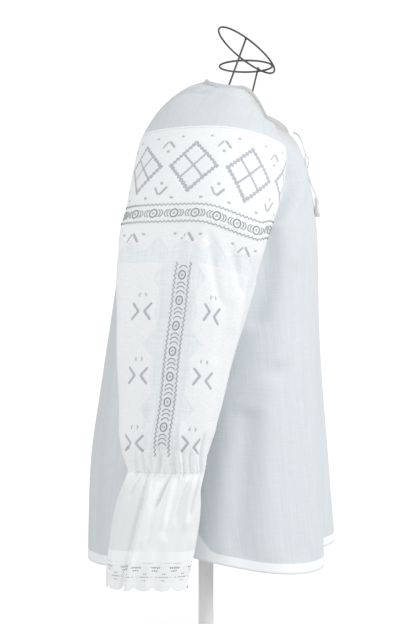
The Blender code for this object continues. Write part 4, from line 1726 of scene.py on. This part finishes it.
class BLOUSE_OT_ties(bpy.types.Operator):
    """Make the two ends of the neck tie, each with its tassel."""

    bl_idname = "blouse.ties"
    bl_label = "Ties and tassels"

    TASSEL_LENGTH = 0.027
    TASSEL_RADIUS = 0.0045
    STRAND_RADIUS = 0.00052
    FOLLOWED = 120
    PLIES = 2
    PITCH = 0.0042

    def execute(self, context):
        settings = blouse()
        finish = made_once("white cotton cord", thread_finish, settings.tie_colour, 0.75, 2200.0)
        for side, route in TIE_ROUTES.items():
            line = smooth_route(route, self.FOLLOWED)
            cord = rope_object(f"tie_{side}_cord", [line], 0.5 * settings.tie_diameter,
                               self.PLIES, self.PITCH, finish)
            tassel = self.tassel(side, Vector(route[-1]), settings, finish)
            fit_out(cord, f"tie_{side}")
            fit_out(tassel, f"tassel_{side}")
        return {"FINISHED"}

    def tassel(self, side, end, settings, finish):
        """A knot, a binding and strands that hang from it."""
        start_modelling()
        top = end.z - 0.0006
        bpy.ops.mesh.primitive_uv_sphere_add(
            segments=24, ring_count=14, radius=0.0032, location=(end.x, end.y, top - 0.0034))
        bpy.ops.transform.resize(value=(1.0, 1.0, 1.12))
        knot = end_modelling(f"tassel_{side}_cotton", finish, 60.0)
        start_modelling()
        bpy.ops.mesh.primitive_torus_add(
            major_segments=24, minor_segments=8, major_radius=0.0024, minor_radius=0.0006,
            location=(end.x, end.y, top - 0.0070))
        binding = end_modelling(f"tassel_{side}_binding", finish, 60.0)
        lines = []
        bottom = self.TASSEL_LENGTH
        for number in range(settings.tassel_strands):
            ring = 0.35 + 0.65 * math.sqrt((number + 0.5) / settings.tassel_strands)
            angle = GOLDEN_ANGLE * number
            reach = ring * (self.TASSEL_RADIUS - 0.0006)
            out = Vector((math.cos(angle), math.sin(angle), 0.0))
            strand = []
            for share in np.linspace(0.0, 1.0, 9):
                spread = 0.30 + 0.70 * share**0.8
                sway = 0.0003 * math.sin(5.0 * share + number)
                drop = 0.0055 + (bottom - 0.0062 - 0.0012 * (number % 3)) * share
                place = Vector((end.x, end.y, top - drop)) + out * (reach * spread)
                strand.append(place + Vector((-out.y, out.x, 0.0)) * sway)
            lines.append(strand)
        strands = rope_object(f"tassel_{side}_strands", lines, self.STRAND_RADIUS, 0, 1.0,
                              finish, sides=6)
        return join_into(knot, [binding, strands])


# ---------------------------------------------------------------- dress form

def rim_edges(mesh, height):
    """Selects, in edit mode, the edges of a cylinder's rim at this height."""
    edit = bmesh.from_edit_mesh(mesh)
    for edge in edit.edges:
        level = all(abs(v.co.z - height) < 1e-5 for v in edge.verts)
        steep = len(edge.link_faces) == 2 and edge.calc_face_angle() > 0.8
        edge.select_set(level and steep)
    bmesh.update_edit_mesh(mesh)


def face_at(mesh, height):
    """Selects, in edit mode, the flat face at this height."""
    edit = bmesh.from_edit_mesh(mesh)
    for face in edit.faces:
        face.select_set(all(abs(v.co.z - height) < 1e-5 for v in face.verts))
    bmesh.update_edit_mesh(mesh)


class BLOUSE_OT_stand(bpy.types.Operator):
    """Make the round base and the pole of the dress form."""

    bl_idname = "blouse.stand"
    bl_label = "Base and pole"

    RIM_ROUND = 0.003
    EDGE_ROUND = 0.0008
    COLLAR_THICK = 0.006
    COLLAR_LIP = 0.004
    COLLAR_STEP = 0.0015
    POLE_RADIUS = 0.011

    def execute(self, context):
        steel = made_once("off-white paint", painted_finish, (0.97, 0.97, 0.96), 0.42)
        fit_out(self.base(steel), "form_base")
        fit_out(self.pole(steel), "form_pole")
        return {"FINISHED"}

    def base(self, steel):
        """A round plate with a well rounded upper rim."""
        low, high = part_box("form_base")
        radius, thick = 0.5 * (high[0] - low[0]), high[2] - low[2]
        start_modelling()
        bpy.ops.mesh.primitive_cylinder_add(
            vertices=128, radius=radius, depth=thick, location=(0.0, 0.0, 0.5 * thick))
        bpy.ops.object.mode_set(mode="EDIT")
        bpy.ops.mesh.select_mode(type="EDGE")
        bpy.ops.mesh.select_all(action="DESELECT")
        mesh = bpy.context.active_object.data
        rim_edges(mesh, 0.5 * thick)
        bpy.ops.mesh.bevel(offset=self.RIM_ROUND, offset_pct=0, segments=5, affect="EDGES")
        bpy.ops.mesh.select_all(action="DESELECT")
        rim_edges(mesh, -0.5 * thick)
        bpy.ops.mesh.bevel(offset=self.EDGE_ROUND, offset_pct=0, segments=2, affect="EDGES")
        return end_modelling("form_base_plate", steel)

    def pole(self, steel):
        """A flat collar with a raised step, from whose middle the pole rises."""
        low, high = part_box("form_pole")
        collar, height = 0.5 * (high[0] - low[0]), high[2] - low[2]
        half = 0.5 * self.COLLAR_THICK
        start_modelling()
        bpy.ops.mesh.primitive_cylinder_add(
            vertices=64, radius=collar, depth=self.COLLAR_THICK, location=(0.0, 0.0, low[2] + half))
        bpy.ops.object.mode_set(mode="EDIT")
        bpy.ops.mesh.select_mode(type="FACE")
        bpy.ops.mesh.select_all(action="DESELECT")
        mesh = bpy.context.active_object.data
        face_at(mesh, half)
        bpy.ops.mesh.inset(thickness=self.COLLAR_LIP)
        bpy.ops.transform.translate(value=(0.0, 0.0, self.COLLAR_STEP))
        bpy.ops.mesh.inset(thickness=collar - self.COLLAR_LIP - self.POLE_RADIUS)
        bpy.ops.mesh.extrude_region_move(TRANSFORM_OT_translate={
            "value": (0.0, 0.0, height - self.COLLAR_THICK - self.COLLAR_STEP)})
        bpy.ops.mesh.select_mode(type="EDGE")
        bpy.ops.mesh.select_all(action="DESELECT")
        rim_edges(mesh, half)
        bpy.ops.mesh.bevel(offset=self.EDGE_ROUND, offset_pct=0, segments=3, affect="EDGES")
        return end_modelling("form_pole_tube", steel)


class BLOUSE_OT_torso(bpy.types.Operator):
    """Make the smooth limbless body that the blouse hangs on."""

    bl_idname = "blouse.torso"
    bl_label = "Torso"

    def execute(self, context):
        settings = blouse()
        finish = made_once("stretched jersey", jersey_finish, settings)
        start_modelling()
        mesh = frame["nodes"]["form_torso"].data.copy()
        torso = only(link("form_torso_cover", mesh))
        bpy.ops.object.mode_set(mode="EDIT")
        bpy.ops.mesh.select_all(action="SELECT")
        bpy.ops.mesh.remove_doubles(threshold=0.00005)
        bpy.ops.mesh.tris_convert_to_quads(face_threshold=math.radians(60),
                                           shape_threshold=math.radians(60))
        bpy.ops.object.mode_set(mode="OBJECT")
        smooth = torso.modifiers.new("smooth", "SUBSURF")
        smooth.levels = 2
        smooth.render_levels = 2
        bpy.ops.object.modifier_apply(modifier=smooth.name)
        torso = end_modelling("form_torso_cover", finish, 50.0)
        fit_out(torso, "form_torso")
        return {"FINISHED"}


class BLOUSE_OT_wire_neck(bpy.types.Operator):
    """Make the wire ring, hoop and struts above the torso, welded where they meet."""

    bl_idname = "blouse.wire_neck"
    bl_label = "Wire neck"

    WIRE = 0.0014
    RING_RADIUS = 0.050
    RING_CENTRE = (0.0, -0.0590, 0.8700)
    RING_TILT = math.radians(36.0)
    RING_ROLL = math.radians(9.0)
    HOOP_RADIUS = 0.038
    HOOP_CENTRE = (0.0, -0.0580, 0.8470)
    STRUTS = {"right": ((-0.028, -0.018), 180.0), "left": ((0.042, -0.050), 334.0)}

    def execute(self, context):
        finish = made_once("dark wire", painted_finish, (0.13, 0.13, 0.135), 0.42, 0.6)
        turn = Matrix.Rotation(self.RING_TILT, 4, "X") @ Matrix.Rotation(self.RING_ROLL, 4, "Y")
        ring = self.hoop("form_neck_ring_wire", self.RING_RADIUS, self.RING_CENTRE, turn, finish)
        hoop = self.hoop("form_neck_hoop_wire", self.HOOP_RADIUS, self.HOOP_CENTRE,
                         Matrix.Identity(4), finish)
        pieces = {"form_neck_ring": ring, "form_neck_hoop": hoop}
        foot_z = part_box("form_torso")[1][2] + 0.0013
        inner = self.RING_RADIUS - 2 * self.WIRE - 0.0003
        for side, (foot, degrees) in self.STRUTS.items():
            angle = math.radians(degrees)
            flat = Vector((inner * math.cos(angle), inner * math.sin(angle), 0.0))
            head = Vector(self.RING_CENTRE) + turn.to_3x3() @ flat
            low = Vector((foot[0], foot[1], foot_z))
            pieces[f"form_neck_strut_{side}"] = self.strut(side, low, head, finish)
        for node, obj in pieces.items():
            fit_out(obj, node)
        return {"FINISHED"}

    def hoop(self, name, radius, centre, turn, finish):
        start_modelling()
        bpy.ops.mesh.primitive_torus_add(
            major_segments=120, minor_segments=14, major_radius=radius, minor_radius=self.WIRE,
            location=(0.0, 0.0, 0.0))
        obj = bpy.context.active_object
        obj.matrix_world = Matrix.Translation(Vector(centre)) @ turn
        return end_modelling(name, finish, 80.0)

    def strut(self, side, low, head, finish):
        """A straight wire with a flattened foot and a bead of weld at its head."""
        name = f"form_neck_strut_{side}_wire"
        way = head - low
        turn = way.to_track_quat("Z", "Y").to_matrix().to_4x4()
        start_modelling()
        bpy.ops.mesh.primitive_cylinder_add(
            vertices=20, radius=self.WIRE, depth=way.length, location=(0.0, 0.0, 0.0))
        bpy.ops.object.mode_set(mode="EDIT")
        bpy.ops.mesh.select_mode(type="EDGE")
        mesh = bpy.context.active_object.data
        for height in (-0.5 * way.length, 0.5 * way.length):
            bpy.ops.mesh.select_all(action="DESELECT")
            rim_edges(mesh, height)
            bpy.ops.mesh.bevel(offset=0.0005, offset_pct=0, segments=2, affect="EDGES")
        bpy.ops.object.mode_set(mode="OBJECT")
        obj = bpy.context.active_object
        obj.matrix_world = Matrix.Translation(low + 0.5 * way) @ turn
        wire = end_modelling(name, finish, 50.0)
        start_modelling()
        bpy.ops.mesh.primitive_uv_sphere_add(segments=18, ring_count=10, radius=0.0021,
                                             location=tuple(head))
        bead = end_modelling(f"{name}_weld", finish, 80.0)
        return join_into(wire, [bead])


# ---------------------------------------------------------------- stage

class BLOUSE_OT_stage(bpy.types.Operator):
    """Make the pale floor, the soft lamps and the camera."""

    bl_idname = "blouse.stage"
    bl_label = "Stage"

    EYE = (-1.782, -0.2505, 0.452)
    HEADING = -82.0
    LENS = 71.6
    SHIFT = (0.0032, 0.0449)
    KEY_PLACE = (-0.5, -3.0, 1.9)
    KEY_SIZE = 1.5
    FILL_PLACE = (-2.8, 1.2, 1.4)
    FILL_SIZE = 2.0
    SWEEP = 1.5
    WALL_TOP = 5.0
    LOOKED_AT = (0.0, 0.0, 0.5)

    def execute(self, context):
        settings = context.scene.ie_stage
        self.camera(context.scene)
        self.floor(settings)
        self.lamp("key lamp", self.KEY_PLACE, self.KEY_SIZE, settings.key_power)
        self.lamp("fill lamp", self.FILL_PLACE, self.FILL_SIZE, settings.fill_power)
        world = bpy.data.worlds.new("even sky")
        world.use_nodes = True
        sky = world.node_tree.nodes["Background"]
        sky.inputs["Color"].default_value = (1.0, 1.0, 1.0, 1.0)
        sky.inputs["Strength"].default_value = settings.sky_strength
        context.scene.world = world
        context.scene.view_settings.view_transform = "Standard"
        return {"FINISHED"}

    def camera(self, scene):
        data = bpy.data.cameras.new("camera")
        data.lens = self.LENS
        data.sensor_width = 36.0
        data.shift_x, data.shift_y = self.SHIFT
        data.clip_start = 0.05
        obj = bpy.data.objects.new("camera", data)
        obj.location = self.EYE
        obj.rotation_euler = (math.radians(90.0), 0.0, math.radians(self.HEADING))
        scene.collection.objects.link(obj)
        scene.camera = obj

    def lamp(self, name, place, size, power):
        data = bpy.data.lights.new(name, "AREA")
        data.size = size
        data.energy = power
        obj = bpy.data.objects.new(name, data)
        obj.location = place
        toward = Vector(self.LOOKED_AT) - Vector(place)
        obj.rotation_euler = toward.to_track_quat("-Z", "Y").to_euler()
        bpy.context.scene.collection.objects.link(obj)

    def floor(self, settings):
        """A flat floor that curves up into a wall all round."""
        steps, radius = 96, settings.floor_radius
        profile = [(0.35 * radius, 0.0), (0.7 * radius, 0.0), (radius, 0.0)]
        for degrees in range(10, 91, 10):
            angle = math.radians(degrees)
            profile.append((radius + self.SWEEP * math.sin(angle),
                            self.SWEEP * (1.0 - math.cos(angle))))
        profile.append((radius + self.SWEEP, self.WALL_TOP))
        corners = [(0.0, 0.0, 0.0)]
        for reach, height in profile:
            for step in range(steps):
                angle = 2 * math.pi * step / steps
                corners.append((reach * math.cos(angle), reach * math.sin(angle), height))
        faces = [(0, 1 + step, 1 + (step + 1) % steps) for step in range(steps)]
        for ring in range(len(profile) - 1):
            first, after = 1 + ring * steps, 1 + (ring + 1) * steps
            for step in range(steps):
                beyond = (step + 1) % steps
                faces.append((first + step, after + step, after + beyond, first + beyond))
        mesh = bpy.data.meshes.new("floor")
        mesh.from_pydata(corners, [], faces)
        mesh.shade_smooth()
        finish = Finish("pale paper")
        grain = finish.noise((40, 40, 40), 3.0)
        base = settings.floor_colour
        mesh.materials.append(finish.surface(
            Base_Color=finish.blend(grain, shade(base, 0.99), shade(base)), Roughness=0.9,
            Emission_Color=(1.0, 1.0, 1.0, 1.0), Emission_Strength=settings.floor_glow))
        floor = link("floor", mesh)
        floor.visible_diffuse = False
        floor.visible_glossy = False


# ---------------------------------------------------------------- panel and registration

MAKERS = (
    BLOUSE_OT_stage,
    BLOUSE_OT_ties,
    BLOUSE_OT_front_and_back,
    BLOUSE_OT_sleeve_heads,
    BLOUSE_OT_shoulder_bands,
    BLOUSE_OT_lower_sleeves,
    BLOUSE_OT_ruffles,
    BLOUSE_OT_lace,
    BLOUSE_OT_neck_casing,
    BLOUSE_OT_stand,
    BLOUSE_OT_torso,
    BLOUSE_OT_wire_neck,
)


class BLOUSE_PT_panel(bpy.types.Panel):
    """Lists the pieces of the blouse and its settings."""

    bl_idname = "BLOUSE_PT_panel"
    bl_label = "Romanian ie blouse"
    bl_space_type = "VIEW_3D"
    bl_region_type = "UI"
    bl_category = "Blouse"

    def draw(self, context):
        column = self.layout.column()
        for group in (context.scene.ie_blouse, context.scene.ie_stage):
            for name in group.__annotations__:
                column.prop(group, name)
            column.separator()
        for maker in MAKERS:
            column.operator(maker.bl_idname)


CLASSES = (BlouseSettings, StageSettings, *MAKERS, BLOUSE_PT_panel)


def register():
    for cls in CLASSES:
        bpy.utils.register_class(cls)
    bpy.types.Scene.ie_blouse = PointerProperty(type=BlouseSettings)
    bpy.types.Scene.ie_stage = PointerProperty(type=StageSettings)


def unregister():
    del bpy.types.Scene.ie_stage
    del bpy.types.Scene.ie_blouse
    for cls in reversed(CLASSES):
        bpy.utils.unregister_class(cls)


def main():
    register()
    for maker in MAKERS:
        group, name = maker.bl_idname.split(".")
        getattr(getattr(bpy.ops, group), name)()


if __name__ == "__main__":
    main()
